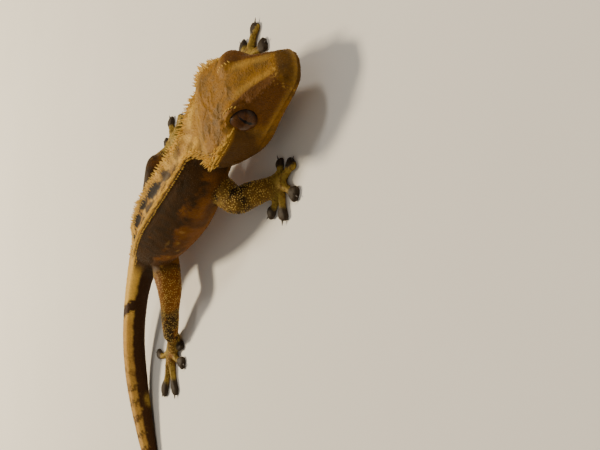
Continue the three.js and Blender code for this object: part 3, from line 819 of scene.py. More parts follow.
    def _dark_marks(self, crown: np.ndarray, trunk: np.ndarray) -> np.ndarray:
        """Brown blotches on the back, the dark break on the tail, and the head's dark lines and temples, the
        temples partly painted shade under the crest's ridge.

        Args:
            crown: How much each point is on the back.
            trunk: How much it is on the body.

        Returns:
            How dark each point is.
        """
        ragged = cloud(self.points, 1.1, 3.7) + 0.6 * cloud(self.points, 0.5, 2.9)
        dark = np.zeros(len(self.points))
        for mark in BACK_MARKS:
            ahead = self.station - mark.station
            across = self.left - mark.left - mark.slant * ahead
            reach = np.hypot(ahead / mark.length, across / mark.width)
            dark = np.maximum(dark, mark.strength * ease(reach + 0.42 * ragged, 1.15, 0.75))
        dark *= crown
        tail = self.tail * (1 - self.limb)
        break_at = self.station - BREAK_SLANT * self.left
        dark = np.maximum(dark, tail * ease(np.abs(break_at - TAIL_BREAK + 1.2 * ragged), 3.0, 1.7))
        bands = ease(np.sin(self.station * 1.25 + 2.2 * ragged), 0.25, 0.85)
        late = ease(self.station, 98.0, 120.0)
        dark = np.maximum(dark, tail * late * (0.15 + 0.65 * bands))
        forward, left, up = self.head_local.T
        sizes = self.gecko.head.sizes.at(forward)
        snout = ease(forward + 0.4 * ragged, 26.6, 27.6) * 0.75
        # Dark temples under the crest's ridge: partly the skin's own dark brown, partly painted shade of the
        # overhanging ridge, darker towards the ridge and the back of the head
        corner_line = 2.49 * forward - 3.58 * up + 0.66 * np.abs(left) + 1.2 * ragged
        temple_dark_and_shade = ease(forward, 14.2, 12.2) * ease(up - sizes[:, 2], -0.5, -1.3)
        temple_dark_and_shade = temple_dark_and_shade * (0.45 + 0.55 * ease(corner_line, 67.0, 60.0))
        dark_head = np.maximum(snout, temple_dark_and_shade)
        rear = np.array([not limb.fore for limb in self.gecko.limbs])[self.limb_index]
        along = self.limb_along + 0.04 * ragged
        shin = rear * ease(along, 0.53, 0.6) * ease(along, 0.97, 0.88)
        forearm = (1 - rear) * bell(along - 0.7, 0.07)
        dark_limb = 0.85 * np.maximum(shin, forearm) * self.limb * (1 - self.foot)
        return np.max([dark * trunk, dark_head * self.head, dark_limb], axis=0)

    def _pale_marks(self, drop: np.ndarray, trunk: np.ndarray) -> np.ndarray:
        """The cream stripe on the snout, the pale lip, flecks, and pale spots down the tail.

        Args:
            drop: Share of the way down the side.
            trunk: How much each point is on the body.

        Returns:
            How pale each point is.
        """
        forward, left, up = self.head_local.T
        ragged = cloud(self.points, 1.6, 8.1)
        sizes = self.gecko.head.sizes.at(forward)
        across = np.abs(left - SNOUT_SHIFT * ease(forward, 12.0, 20.0))
        stripe = bell(across - sizes[:, 1] * 0.5, 0.8) * ease(forward, 15.5, 18.5)
        stripe = stripe * ease(forward, 27.0, 24.5) * ease(across - sizes[:, 1] * SNOUT_EDGE, 0.3, -0.1)
        lip = bell(up - self.gecko.head.lip_height(forward) - 0.7, 0.65) * ease(forward, 12.0, 16.0)
        corner = ease(forward + ragged, 4.5, 0.5) * ease(up - sizes[:, 2], -0.6, 0.2)
        flecks = ease(cloud(self.points, 0.5, 5.3), 0.2, 0.4) * bell(forward - 26.3, 0.7)
        edge = bell(across - sizes[:, 1] + 0.1, 0.5) * ease(forward, 13.6, 11.0) * ease(
            up - sizes[:, 2], -0.8, -0.2
        )
        pale_head = np.max([0.55 * stripe, 0.35 * lip, 0.5 * corner, 0.8 * flecks, 0.55 * edge], axis=0)
        spots = ease(cloud(self.points, 1.1, 1.9), 0.3, 0.5) * ease(self.station, 112.0, 122.0)
        spots = 0.7 * spots * ease(drop, 0.42, 0.3)
        flank = ease(cloud(self.points * np.array([1, 0.6, 1]), 1.5, 6.4), 0.42, 0.6)
        flank *= bell(drop - 0.55, 0.2) * trunk * ease(self.station, 24.0, 32.0) * (1 - self.tail)
        return np.maximum(pale_head * self.head, np.maximum(spots * self.tail, 0.5 * flank))

    def _rust_marks(self, drop: np.ndarray, trunk: np.ndarray) -> np.ndarray:
        """Rusty orange on the lower flank, cheeks and thighs.

        Args:
            drop: Share of the way down the side.
            trunk: How much each point is on the body.

        Returns:
            How rusty each point is.
        """
        ragged = cloud(self.points * np.array([1, 0.7, 1]), 2.6, 2.2) + 0.5 * cloud(self.points, 0.9, 4.1)
        lower = ease(drop + 0.24 * ragged, 0.30, 0.44)
        patch = ease(cloud(self.points * np.array([1, 0.6, 1]), 3.4, 11.7) + 0.3 * ragged, -0.3, 0.25)
        forward, left, up = self.head_local.T
        across = np.abs(left - SNOUT_SHIFT * ease(forward, 12.0, 20.0))
        beyond = ease(across - self.gecko.head.sizes.at(forward)[:, 1] * SNOUT_EDGE, -0.1, 0.3)
        cheek = beyond * ease(forward, 14.0, 16.5) * ease(forward, 27.4, 26.2) * ease(up, -9.5, -7.0)
        rear = np.array([not limb.fore for limb in self.gecko.limbs])[self.limb_index]
        lean = np.array([1.0 if limb.root[0] < 0 else 0.2 for limb in self.gecko.limbs])[self.limb_index]
        along = self.limb_along + 0.06 * ragged
        thigh = rear * lean * ease(along, 0.17, 0.27) * ease(along, 0.60, 0.53) * self.limb
        shin = rear * ease(ragged, 0.12, 0.3) * self.limb * ease(along, 0.6, 0.68) * 0.85
        body = lower * (0.3 + 0.7 * patch) * trunk * (1 - self.tail) * (1 - self.head)
        body = body * ease(self.station, 58.0, 48.0) * ease(self.station, 9.0, 14.0)
        return np.max([body, cheek * self.head, thigh, shin * (1 - self.foot)], axis=0)

    def _scale_cover(self) -> np.ndarray:
        """How closely small scales stand: none in the eye openings, on the pad soles or close to the floor.
        """
        cover = np.ones(len(self.points))
        for side in SIDES:
            reach, share, _ = self.gecko.head.eye.opening(self.head_local, side)
            cover[(reach < 6) & (share < 1.04)] = 0.0
        cover[self.points[:, 2] < 0.35] = 0.0
        cover[self.pad > 0.5] = 0.0
        return cover

    def _scale_girth(self) -> np.ndarray:
        """Half width of the small scales, in millimetres."""
        girth = 0.15 + 0.03 * self.limb - 0.01 * self.head - 0.02 * self.foot
        snout = self.head * ease(self.head_local[:, 0], 20.0, 24.0)
        rim = np.zeros(len(self.points))
        for side in SIDES:
            _, share, _ = self.gecko.head.eye.opening(self.head_local, side)
            rim = np.maximum(rim, bell(share - 1.12, 0.08))
        return girth + 0.03 * snout + 0.05 * rim * self.head


# Skin


@dataclass(frozen=True)
class SkinSizes:
    """How finely the skin is made and how deep its features are."""

    voxel: float = 0.42
    relax_rounds: int = 9
    lip_depth: float = 0.34
    nostril_depth: float = 0.55
    ear_depth: float = 1.0
    crest_ridge: float = 0.25
    wrinkle: float = 0.06
    crease: float = 0.13
    fold: float = 0.22
    nostril: tuple[float, float, float] = (27.4, 2.95, -5.7)
    ear: tuple[float, float, float] = (4.6, 11.5, -7.6)


class Skin:
    """One closed skin over the head, body, tail, limbs and toes."""

    def __init__(self, gecko: Gecko, sizes: SkinSizes = SkinSizes()) -> None:
        """Keeps the forms and the sizes of its detail."""
        self.gecko, self.sizes = gecko, sizes
        self.piece: Optional[bpy.types.Object] = None
        self.map: Optional[SkinMap] = None

    def build(self) -> bpy.types.Object:
        """Fuses the forms, refines the head, and shapes the features."""
        mesh = self._fused()
        mesh = self._refined(mesh)
        self._relax(mesh, self.sizes.relax_rounds)
        self._sculpt(mesh)
        points = read_points(mesh)
        points[:, 2] = np.maximum(points[:, 2], 0.0)
        self.map = SkinMap(self.gecko, points)
        for name, values in self.map.values().items():
            write_value(mesh, name, values)
        write_points(mesh, (points + FOOTPRINT_SHIFT) * MM)
        mesh.shade_smooth()
        self.piece = bpy.data.objects.new("skin", mesh)
        bpy.context.scene.collection.objects.link(self.piece)
        log.info("skin: %d faces", len(mesh.polygons))
        return self.piece

    def _fused(self) -> bpy.types.Mesh:
        """The lofts joined into one closed surface of even quads."""
        shells = Shells()
        shells.add(self.gecko.trunk.rings())
        shells.add(self.gecko.head.rings())
        for side in SIDES:
            shells.add(self.gecko.head.lid_rings(side))
        toe_sizes = TOE_SIZES.at(np.linspace(0, 1, 30))
        for limb in self.gecko.limbs:
            shells.add(limb.rings())
            shells.add(limb.palm_rings())
            for path, width in zip(limb.toe_paths(), TOE_WIDTHS):
                shells.add(sweep(path, toe_sizes * np.array([width, 1, 1]), 24))
        form = shells.to_object("skin_form")
        remesh = form.modifiers.new("fuse", "REMESH")
        remesh.mode = "VOXEL"
        remesh.voxel_size = self.sizes.voxel
        mesh = evaluated_mesh(form)
        bpy.data.objects.remove(form)
        return mesh

    def _refined(self, mesh: bpy.types.Mesh) -> bpy.types.Mesh:
        """The head's faces, divided once more than the rest."""
        work = bmesh.new()
        work.from_mesh(mesh)
        local = self.gecko.head.local(read_points(mesh))
        sizes = self.gecko.head.sizes.at(local[:, 0])
        inside = (local[:, 0] > -1.8) & (np.abs(local[:, 1]) < sizes[:, 3] + 1.5) & (local[:, 2] > -15.5)
        inside &= read_points(mesh)[:, 2] > 3.7
        edges = [edge for edge in work.edges if all(inside[v.index] for v in edge.verts)]
        bmesh.ops.subdivide_edges(work, edges=edges, cuts=1, use_grid_fill=True, smooth=0.0)
        bmesh.ops.triangulate(work, faces=[face for face in work.faces if len(face.verts) > 4])
        work.to_mesh(mesh)
        work.free()
        return mesh

    @staticmethod
    def _relax(mesh: bpy.types.Mesh, rounds: int) -> None:
        """Evens out the surface without shrinking it.

        Args:
            mesh: The mesh to even out.
            rounds: How many times.
        """
        edges = np.empty(len(mesh.edges) * 2, np.int32)
        mesh.edges.foreach_get("vertices", edges)
        a, b = edges.reshape(-1, 2).T
        points = read_points(mesh)
        count = np.maximum(np.bincount(a, minlength=len(points)) + np.bincount(b, minlength=len(points)), 1)
        for turn in range(rounds * 2):
            strength = 0.55 if turn % 2 == 0 else -0.57
            mean = np.stack([
                np.bincount(a, points[b, k], len(points)) + np.bincount(b, points[a, k], len(points))
                for k in range(3)
            ], axis=1) / count[:, None]
            points += strength * (mean - points)
        write_points(mesh, points)

    def _sculpt(self, mesh: bpy.types.Mesh) -> None:
        """Moves the skin along its own directions to shape lids, lips, folds and ridges."""
        points, normals = read_points(mesh), read_normals(mesh)
        place = SkinMap(self.gecko, points)
        move = self._head_moves(place) * place.head + self._body_moves(place) * (1 - place.head)
        points += normals * move[:, None]
        local = self.gecko.head.local(points)
        for side in SIDES:
            local = self._shape_lids(local, side)
        near = place.head > 0.3
        points[near] = self.gecko.head.place(local[near])
        write_points(mesh, points)

    def _head_moves(self, place: SkinMap) -> np.ndarray:
        """Lips, nostrils, ears, wrinkles and ridges on the head.

        Args:
            place: The skin's points on the animal.

        Returns:
            How far each moves outwards, in millimetres.
        """
        head, sizes = self.gecko.head, self.sizes
        forward, left, up = place.head_local.T
        rows = head.sizes.at(forward)
        lip = up - head.lip_height(forward)
        on_lip = ease(forward, 7.0, 9.5)
        move = -sizes.lip_depth * bell(lip, 0.2) * on_lip
        move += 0.14 * bell(lip - 0.6, 0.35) * on_lip + 0.05 * bell(lip + 0.55, 0.3) * on_lip
        labials = np.abs(np.sin(forward * math.pi / 1.35))
        move -= 0.07 * bell(labials, 0.16) * bell(lip - 0.6, 0.5) * on_lip * (forward < 28)
        for side in SIDES:
            offset = place.head_local - np.array(sizes.nostril) * np.array([1, side, 1])
            reach = np.linalg.norm(offset * np.array([0.8, 1.0, 1.1]), axis=1)
            move += 0.13 * bell(reach - 0.72, 0.22) - sizes.nostril_depth * bell(reach, 0.36)
            offset = place.head_local - np.array(sizes.ear) * np.array([1, side, 1])
            reach = np.hypot(offset[:, 0] / 0.75, offset[:, 2] / 1.5)
            close = np.abs(offset[:, 1]) < 3.5
            move += np.where(close, 0.16 * bell(reach - 1.3, 0.35) - sizes.ear_depth * bell(reach, 0.7), 0)
        edge = np.abs(np.abs(left) - rows[:, 1] + 0.2) + 0.6 * np.abs(up - rows[:, 2])
        move += 0.28 * bell(edge, 0.7) * ease(forward, 13.5, 9.0)
        canthus = bell(np.abs(left) - rows[:, 1], 0.6) * ease(up - rows[:, 2], -1.2, -0.2)
        move += 0.14 * canthus * ease(forward, 17.0, 19.5) * ease(forward, 28.0, 26.0)
        top = ease(up - rows[:, 2], -0.8, 0.4)
        move -= 0.3 * bell(left, 1.6) * ease(forward, 17.0, 20.0) * ease(forward, 27.0, 24.0) * top
        stretched = place.points * np.array([1.0, 0.55, 1.0])
        crease = np.abs(cloud(stretched, 1.9, 4.4) + 0.35 * cloud(place.points, 0.9, 7.7))
        wrinkles = ease(forward, 19.0, 9.0) * top
        move -= sizes.wrinkle * bell(crease, 0.10) * wrinkles
        gap = self._crease_gap(place)
        move += (0.14 * bell(gap - 0.9, 0.5) - sizes.crease * bell(gap, 0.42)) * top
        move += 0.17 * cloud(place.points, 2.4, 12.3) * top
        move += 0.045 * cloud(place.points, 0.55, 2.3)
        return move

    @staticmethod
    def _crease_gap(place: SkinMap) -> np.ndarray:
        """Distance over the top of the head from the nearest crease."""
        forward, left, _ = place.head_local.T
        wander = 0.25 * cloud(place.points, 1.4, 21.3)
        gap = np.full(len(forward), 9.0)
        for line in HEAD_CREASES:
            path = SmoothPath([(ahead, across, 0.0) for ahead, across in line], per_span=10)
            flat = np.stack([forward + wander, left - wander], axis=1)
            reach = np.linalg.norm(flat[:, None, :] - path.samples[None, :, :2], axis=2).min(axis=1)
            gap = np.minimum(gap, reach)
        return gap

    def _body_moves(self, place: SkinMap) -> np.ndarray:
        """Crest ridges, skin folds and creases on the body, tail and limbs.

        Args:
            place: The skin's points on the animal.

        Returns:
            How far each moves outwards, in millimetres.
        """
        sizes = self.sizes
        rows = self.gecko.trunk.sizes.at(place.station)
        trunk = 1 - place.limb
        edge = np.hypot(np.abs(place.left) - rows[:, 1], place.up - rows[:, 2])
        crested = ease(place.station, 74.0, 62.0)
        move = sizes.crest_ridge * bell(edge, 0.65) * crested * trunk
        move -= 0.25 * bell(place.left / np.maximum(rows[:, 1], 0.5), 0.7) * (place.up > 0) * crested * trunk
        drop = (rows[:, 2] - place.up) / (rows[:, 2] + rows[:, 7])
        warp = 1.2 * cloud(place.points, 5.0, 9.9)
        folds = np.abs(np.sin(drop * 9.0 + 0.12 * place.station + warp))
        groin = bell(place.station - 56.0, 8.0) + 0.8 * bell(place.station - 16.0, 6.0)
        move -= sizes.fold * bell(folds, 0.22) * groin * bell(drop - 0.45, 0.3) * trunk
        ribs = cloud(place.points * np.array([1.0, 1.6, 0.8]), 3.2, 14.2)
        move += 0.12 * ribs * trunk * (1 - place.tail) * (drop > 0.1)
        creases = np.abs(np.sin(place.limb_along * 34.0 + 1.3 * warp))
        bend = bell(place.limb_along - 0.5, 0.13) + bell(place.limb_along - 0.95, 0.07)
        move -= 0.13 * bell(creases, 0.3) * bend * place.limb * (1 - place.foot)
        move += 0.05 * cloud(place.points, 0.8, 6.1)
        web = bell(np.abs(place.toe_side) - 1.0, 0.35) * place.pad
        move += 0.05 * web
        return move

    def _shape_lids(self, local: np.ndarray, side: int) -> np.ndarray:
        """Dips the skin behind the eye inside its opening and rolls the lids' edge round it.

        Args:
            local: Places in the head's frame.
            side: -1 for the right, 1 for the left.

        Returns:
            The moved places.
        """
        eye = self.gecko.head.eye
        centre = eye.axes(side)[0]
        reach, share, upward = eye.opening(local, side)
        profile = SizeTable([
            [0.0, eye.radius - 0.45], [0.9, eye.radius - 0.42], [0.97, eye.radius - 0.05],
            [1.03, eye.radius + 0.5], [1.10, eye.radius + 0.68], [1.20, eye.radius + 0.5],
            [1.32, eye.radius + 0.7], [1.45, eye.radius + 0.62], [1.7, eye.radius + 0.6],
        ])
        wanted = profile.at(share)[:, 0] + 0.14 * bell(share - 1.12, 0.14) * ease(upward, 0.0, 0.8)
        weight = ease(share, 1.34, 1.13) * ease(reach, eye.radius + 2.6, eye.radius + 1.2)
        made = reach + (wanted - reach) * weight
        moved = centre + (local - centre) * (made / np.maximum(reach, 1e-6))[:, None]
        return np.where((weight > 0)[:, None], moved, local)

    def patch(self, region: Region) -> bpy.types.Object:
        """A copy of one region's faces, with the markings kept, for scales to stand on.

        Args:
            region: Which region.

        Returns:
            A new object.
        """
        mesh = self.piece.data
        kind = self.map.region()
        wanted = list(Region).index(region)
        work = bmesh.new()
        work.from_mesh(mesh)
        work.verts.ensure_lookup_table()
        doomed = [
            face for face in work.faces
            if sum(kind[v.index] == wanted for v in face.verts) * 2 <= len(face.verts)
        ]
        bmesh.ops.delete(work, geom=doomed, context="FACES")
        part = bpy.data.meshes.new(f"patch_{region.value}")
        work.to_mesh(part)
        work.free()
        made = bpy.data.objects.new(part.name, part)
        bpy.context.scene.collection.objects.link(made)
        return made


# Node trees for what repeats


class TreeMaker:
    """Adds nodes to a tree and links them."""

    def __init__(self, tree: bpy.types.NodeTree) -> None:
        """Works on one tree."""
        self.tree = tree

    def node(
        self, kind: str, inputs: Optional[dict[object, object]] = None, **settings: object
    ) -> bpy.types.Node:
        """Adds a node.

        Args:
            kind: The node's type.
            inputs: Values or sockets for its inputs, by name or index.
            **settings: Its own settings.

        Returns:
            The node.
        """
        made = self.tree.nodes.new(kind)
        for name, value in settings.items():
            setattr(made, name, value)
        for key, value in (inputs or {}).items():
            if isinstance(value, bpy.types.NodeSocket):
                self.tree.links.new(value, made.inputs[key])
            else:
                made.inputs[key].default_value = value
        return made

    def math(self, operation: str, *values: object) -> bpy.types.NodeSocket:
        """The result of a sum on sockets or numbers."""
        return self.node("ShaderNodeMath", dict(enumerate(values)), operation=operation).outputs[0]


def geometry_tree(name: str, inputs: Sequence[tuple[str, str, object]]) -> tuple[TreeMaker, bpy.types.Node]:
    """A Geometry Nodes tree with named inputs.

    Args:
        name: The tree's name.
        inputs: Name, socket type and value of each input.

    Returns:
        Its maker and its input node.
    """
    tree = bpy.data.node_groups.new(name, "GeometryNodeTree")
    tree.interface.new_socket("Geometry", in_out="INPUT", socket_type="NodeSocketGeometry")
    for label, kind, value in inputs:
        socket = tree.interface.new_socket(label, in_out="INPUT", socket_type=kind)
        if value is not None:
            socket.default_value = value
    tree.interface.new_socket("Geometry", in_out="OUTPUT", socket_type="NodeSocketGeometry")
    return TreeMaker(tree), tree.nodes.new("NodeGroupInput")


def run_tree(piece: bpy.types.Object, tree: bpy.types.NodeTree, values: dict[str, object]) -> bpy.types.Mesh:
    """Runs a tree on a piece and returns the plain mesh that it makes.

    Args:
        piece: What the tree works on.
        tree: A Geometry Nodes tree.
        values: Its inputs, by name.

    Returns:
        A plain mesh.
    """
    modifier = piece.modifiers.new(tree.name, "NODES")
    modifier.node_group = tree
    for item in tree.interface.items_tree:
        if item.item_type == "SOCKET" and item.in_out == "INPUT" and item.name in values:
            modifier[item.identifier] = values[item.name]
    mesh = evaluated_mesh(piece)
    piece.modifiers.remove(modifier)
    return mesh


class SpineTree:
    """Tapered, slightly bent spines, one on each point that it is given."""

    SIDES = 6
    SEGMENTS = 4

    def __init__(self) -> None:
        """Builds the tree: points in, spines out."""
        maker, given = geometry_tree("spines_on_points", [
            ("Bend", "NodeSocketFloat", 0.15),
            ("Fullness", "NodeSocketFloat", 2.0),
            ("Finish", "NodeSocketMaterial", None),
        ])
        cone = maker.node("GeometryNodeMeshCone", {
            "Vertices": self.SIDES, "Side Segments": self.SEGMENTS,
            "Radius Top": 0.0, "Radius Bottom": 1.0, "Depth": 1.0,
        }, fill_type="TRIANGLE_FAN")
        place = maker.node("GeometryNodeInputPosition").outputs[0]
        split = maker.node("ShaderNodeSeparateXYZ", {0: place})
        height = split.outputs[2]
        slim = maker.math("SUBTRACT", 1.0, height)
        full = maker.math("SUBTRACT", 1.0, maker.math("POWER", height, given.outputs["Fullness"]))
        grow = maker.math("DIVIDE", full, maker.math("MAXIMUM", slim, 0.02))
        bend = maker.math("MULTIPLY", maker.math("MULTIPLY", height, height), given.outputs["Bend"])
        wide = maker.math("MULTIPLY", split.outputs[0], grow)
        moved = maker.node("ShaderNodeCombineXYZ", {
            0: maker.math("ADD", wide, bend),
            1: maker.math("MULTIPLY", split.outputs[1], grow),
            2: height,
        })
        shaped = maker.node("GeometryNodeSetPosition", {
            "Geometry": cone.outputs[0], "Position": moved.outputs[0],
        })
        lean, girth, reach = (
            maker.node("GeometryNodeInputNamedAttribute", {"Name": name}, data_type=kind)
            for name, kind in (("lean", "FLOAT_VECTOR"), ("girth", "FLOAT"), ("reach", "FLOAT"))
        )
        turned = maker.node("FunctionNodeAlignRotationToVector", {"Vector": lean.outputs[0]}, axis="Z")
        size = maker.node("ShaderNodeCombineXYZ", {
            0: girth.outputs[0], 1: girth.outputs[0], 2: reach.outputs[0],
        })
        placed = maker.node("GeometryNodeInstanceOnPoints", {
            "Points": given.outputs[0], "Instance": shaped.outputs[0],
            "Rotation": turned.outputs[0], "Scale": size.outputs[0],
        })
        finish_tree(maker, placed.outputs[0], given.outputs["Finish"])
        self.tree = maker.tree


class ScaleTree:
    """Small rounded scales spread evenly over a patch of skin."""

    def __init__(self) -> None:
        """Builds the tree: skin in, scales out."""
        maker, given = geometry_tree("scales_on_skin", [
            ("Spacing", "NodeSocketFloat", 0.0005),
            ("Most", "NodeSocketFloat", 5.0e6),
            ("Flatness", "NodeSocketFloat", 0.5),
            ("Seed", "NodeSocketInt", 1),
            ("Finish", "NodeSocketMaterial", None),
        ])
        cover, girth = (
            maker.node("GeometryNodeInputNamedAttribute", {"Name": name}, data_type="FLOAT")
            for name in ("scale_cover", "scale_girth")
        )
        spread = maker.node("GeometryNodeDistributePointsOnFaces", {
            "Mesh": given.outputs[0], "Distance Min": given.outputs["Spacing"],
            "Density Max": given.outputs["Most"], "Density Factor": cover.outputs[0],
            "Seed": given.outputs["Seed"],
        }, distribute_method="POISSON")
        place = maker.node("GeometryNodeInputPosition")
        rooted = maker.node("GeometryNodeStoreNamedAttribute", {
            "Geometry": spread.outputs["Points"], "Name": "root_place", "Value": place.outputs[0],
        }, data_type="FLOAT_VECTOR", domain="POINT")
        vary = maker.node("FunctionNodeRandomValue", {2: 0.8, 3: 1.2, "Seed": 5}, data_type="FLOAT")
        spin = maker.node("FunctionNodeRandomValue", {2: 0.0, 3: 6.283, "Seed": 9}, data_type="FLOAT")
        turn = maker.node("ShaderNodeCombineXYZ", {2: spin.outputs[1]})
        turned = maker.node("FunctionNodeRotateRotation", {
            "Rotation": spread.outputs["Rotation"],
            "Rotate By": maker.node("FunctionNodeEulerToRotation", {0: turn.outputs[0]}).outputs[0],
        }, rotation_space="LOCAL")
        wide = maker.math("MULTIPLY", maker.math("MULTIPLY", girth.outputs[0], MM), vary.outputs[1])
        size = maker.node("ShaderNodeCombineXYZ", {
            0: wide, 1: wide, 2: maker.math("MULTIPLY", wide, given.outputs["Flatness"]),
        })
        bead = maker.node("GeometryNodeMeshIcoSphere", {"Radius": 1.0, "Subdivisions": 1})
        placed = maker.node("GeometryNodeInstanceOnPoints", {
            "Points": rooted.outputs[0], "Instance": bead.outputs[0],
            "Rotation": turned.outputs[0], "Scale": size.outputs[0],
        })
        finish_tree(maker, placed.outputs[0], given.outputs["Finish"])
        self.tree = maker.tree


def finish_tree(maker: TreeMaker, geometry: bpy.types.NodeSocket, finish: bpy.types.NodeSocket) -> None:
    """Ends a tree: real meshes, smooth shading and the finish.

    Args:
        maker: The tree's maker.
        geometry: What to end with.
        finish: Its material.
    """
    real = maker.node("GeometryNodeRealizeInstances", {"Geometry": geometry})
    smooth = maker.node("GeometryNodeSetShadeSmooth", {"Geometry": real.outputs[0]})
    dressed = maker.node("GeometryNodeSetMaterial", {"Geometry": smooth.outputs[0], "Material": finish})
    end = maker.tree.nodes.new("NodeGroupOutput")
    maker.tree.links.new(dressed.outputs[0], end.inputs[0])


def add_bake_map(mesh: bpy.types.Mesh, roots: np.ndarray, per_piece: int, gecko: Gecko) -> None:
    """Gives each spine or scale a small patch at its root's place on the skin's unwrap.

    Args:
        mesh: The coat piece, whose spines or scales have the same number of vertices each.
        roots: The root of each, in millimetres in the hips' frame.
        per_piece: Vertices in each.
        gecko: The animal, for the unwrap.
    """
    places = SkinMap(gecko, roots).bake_places()
    layout = read_points(mesh)[:per_piece]
    layout = layout - layout.mean(axis=0)
    _, _, axes = np.linalg.svd(layout, full_matrices=False)
    flat = layout @ axes[:2].T
    flat *= 0.5 * TILE_BAKE / np.abs(flat).max()
    spots = (places[:, None, :] + flat[None, :, :]).reshape(-1, 2)
    corner = np.empty(len(mesh.loops), np.int32)
    mesh.loops.foreach_get("vertex_index", corner)
    for old in list(mesh.uv_layers):
        mesh.uv_layers.remove(old)
    layer = mesh.uv_layers.new(name="OFBake")
    layer.uv.foreach_set("vector", spots[corner].astype(np.float32).ravel())


def coat_piece(name: str, mesh: bpy.types.Mesh) -> bpy.types.Object:
    """A finished coat piece in the scene."""
    mesh.name = name
    made = bpy.data.objects.new(name, mesh)
    bpy.context.scene.collection.objects.link(made)
    log.info("%s: %d faces", name, len(mesh.polygons))
    return made


# Crest and claws


class PointRow:
    """Points that spines or claws grow from, each with its lean, girth and length."""

    def __init__(self) -> None:
        """Starts empty."""
        self.roots: list[np.ndarray] = []
        self.leans: list[np.ndarray] = []
        self.girths: list[float] = []
        self.reaches: list[float] = []

    def add(self, root: np.ndarray, lean: np.ndarray, girth: float, reach: float) -> None:
        """Adds one."""
        self.roots.append(np.asarray(root, float))
        self.leans.append(unit(np.asarray(lean, float)))
        self.girths.append(girth)
        self.reaches.append(reach)

    def settle(self, tree: BVHTree, sink: float) -> None:
        """Moves each root onto the skin and sinks it a little, lengthening it by as much as it sinks."""
        for index, root in enumerate(self.roots):
            found, _, _, _ = tree.find_nearest(Vector(root))
            if found is None:
                continue
            self.roots[index] = np.array(found) - self.leans[index] * sink
            self.reaches[index] += sink

    def grow(self, name: str, tree: SpineTree, finish: bpy.types.Material, gecko: Gecko,
             bend: float, fullness: float) -> bpy.types.Object:
        """Makes the spines as one mesh piece.

        Args:
            name: The piece's name.
            tree: Makes the spines.
            finish: Their material.
            gecko: The animal, for the markings.
            bend: How far the tips bend.
            fullness: How late they taper.

        Returns:
            The piece.
        """
        roots = np.array(self.roots)
        holder = mesh_object(f"{name}_points", (roots + FOOTPRINT_SHIFT) * MM, [])
        mesh = holder.data
        leans = mesh.attributes.new("lean", "FLOAT_VECTOR", "POINT")
        leans.data.foreach_set("vector", np.array(self.leans, np.float32).ravel())
        write_value(mesh, "girth", np.array(self.girths) * MM)
        write_value(mesh, "reach", np.array(self.reaches) * MM)
        for label, values in SkinMap(gecko, roots).values().items():
            write_value(mesh, label, values)
        made = run_tree(holder, tree.tree, {"Bend": bend, "Fullness": fullness, "Finish": finish})
        bpy.data.objects.remove(holder)
        add_bake_map(made, roots, len(made.vertices) // len(roots), gecko)
        return coat_piece(name, made)


Rows = tuple[tuple[float, float, float], ...]


@dataclass(frozen=True)
class CrestSizes:
    """Spacing and size of the crest's spines."""

    body_step: float = 0.72
    head_step: float = 0.6
    girth: float = 0.23
    scatter: float = 0.55
    seed: int = 11
    sink: float = 0.3
    brow_length: float = 0.42
    corner_length: float = 1.45
    # Rows of the fringe: how far inward, length, and closeness on the body or start on the head
    body_fringes: Rows = ((0.0, 1.0, 1.0), (0.55, 0.6, 0.9), (1.15, 0.42, 0.6), (-0.45, 0.5, 0.9))
    head_fringes: Rows = ((0.0, 1.0, 13.2), (0.5, 0.6, 9.0), (1.1, 0.45, 7.0), (-0.5, 0.4, 11.0))


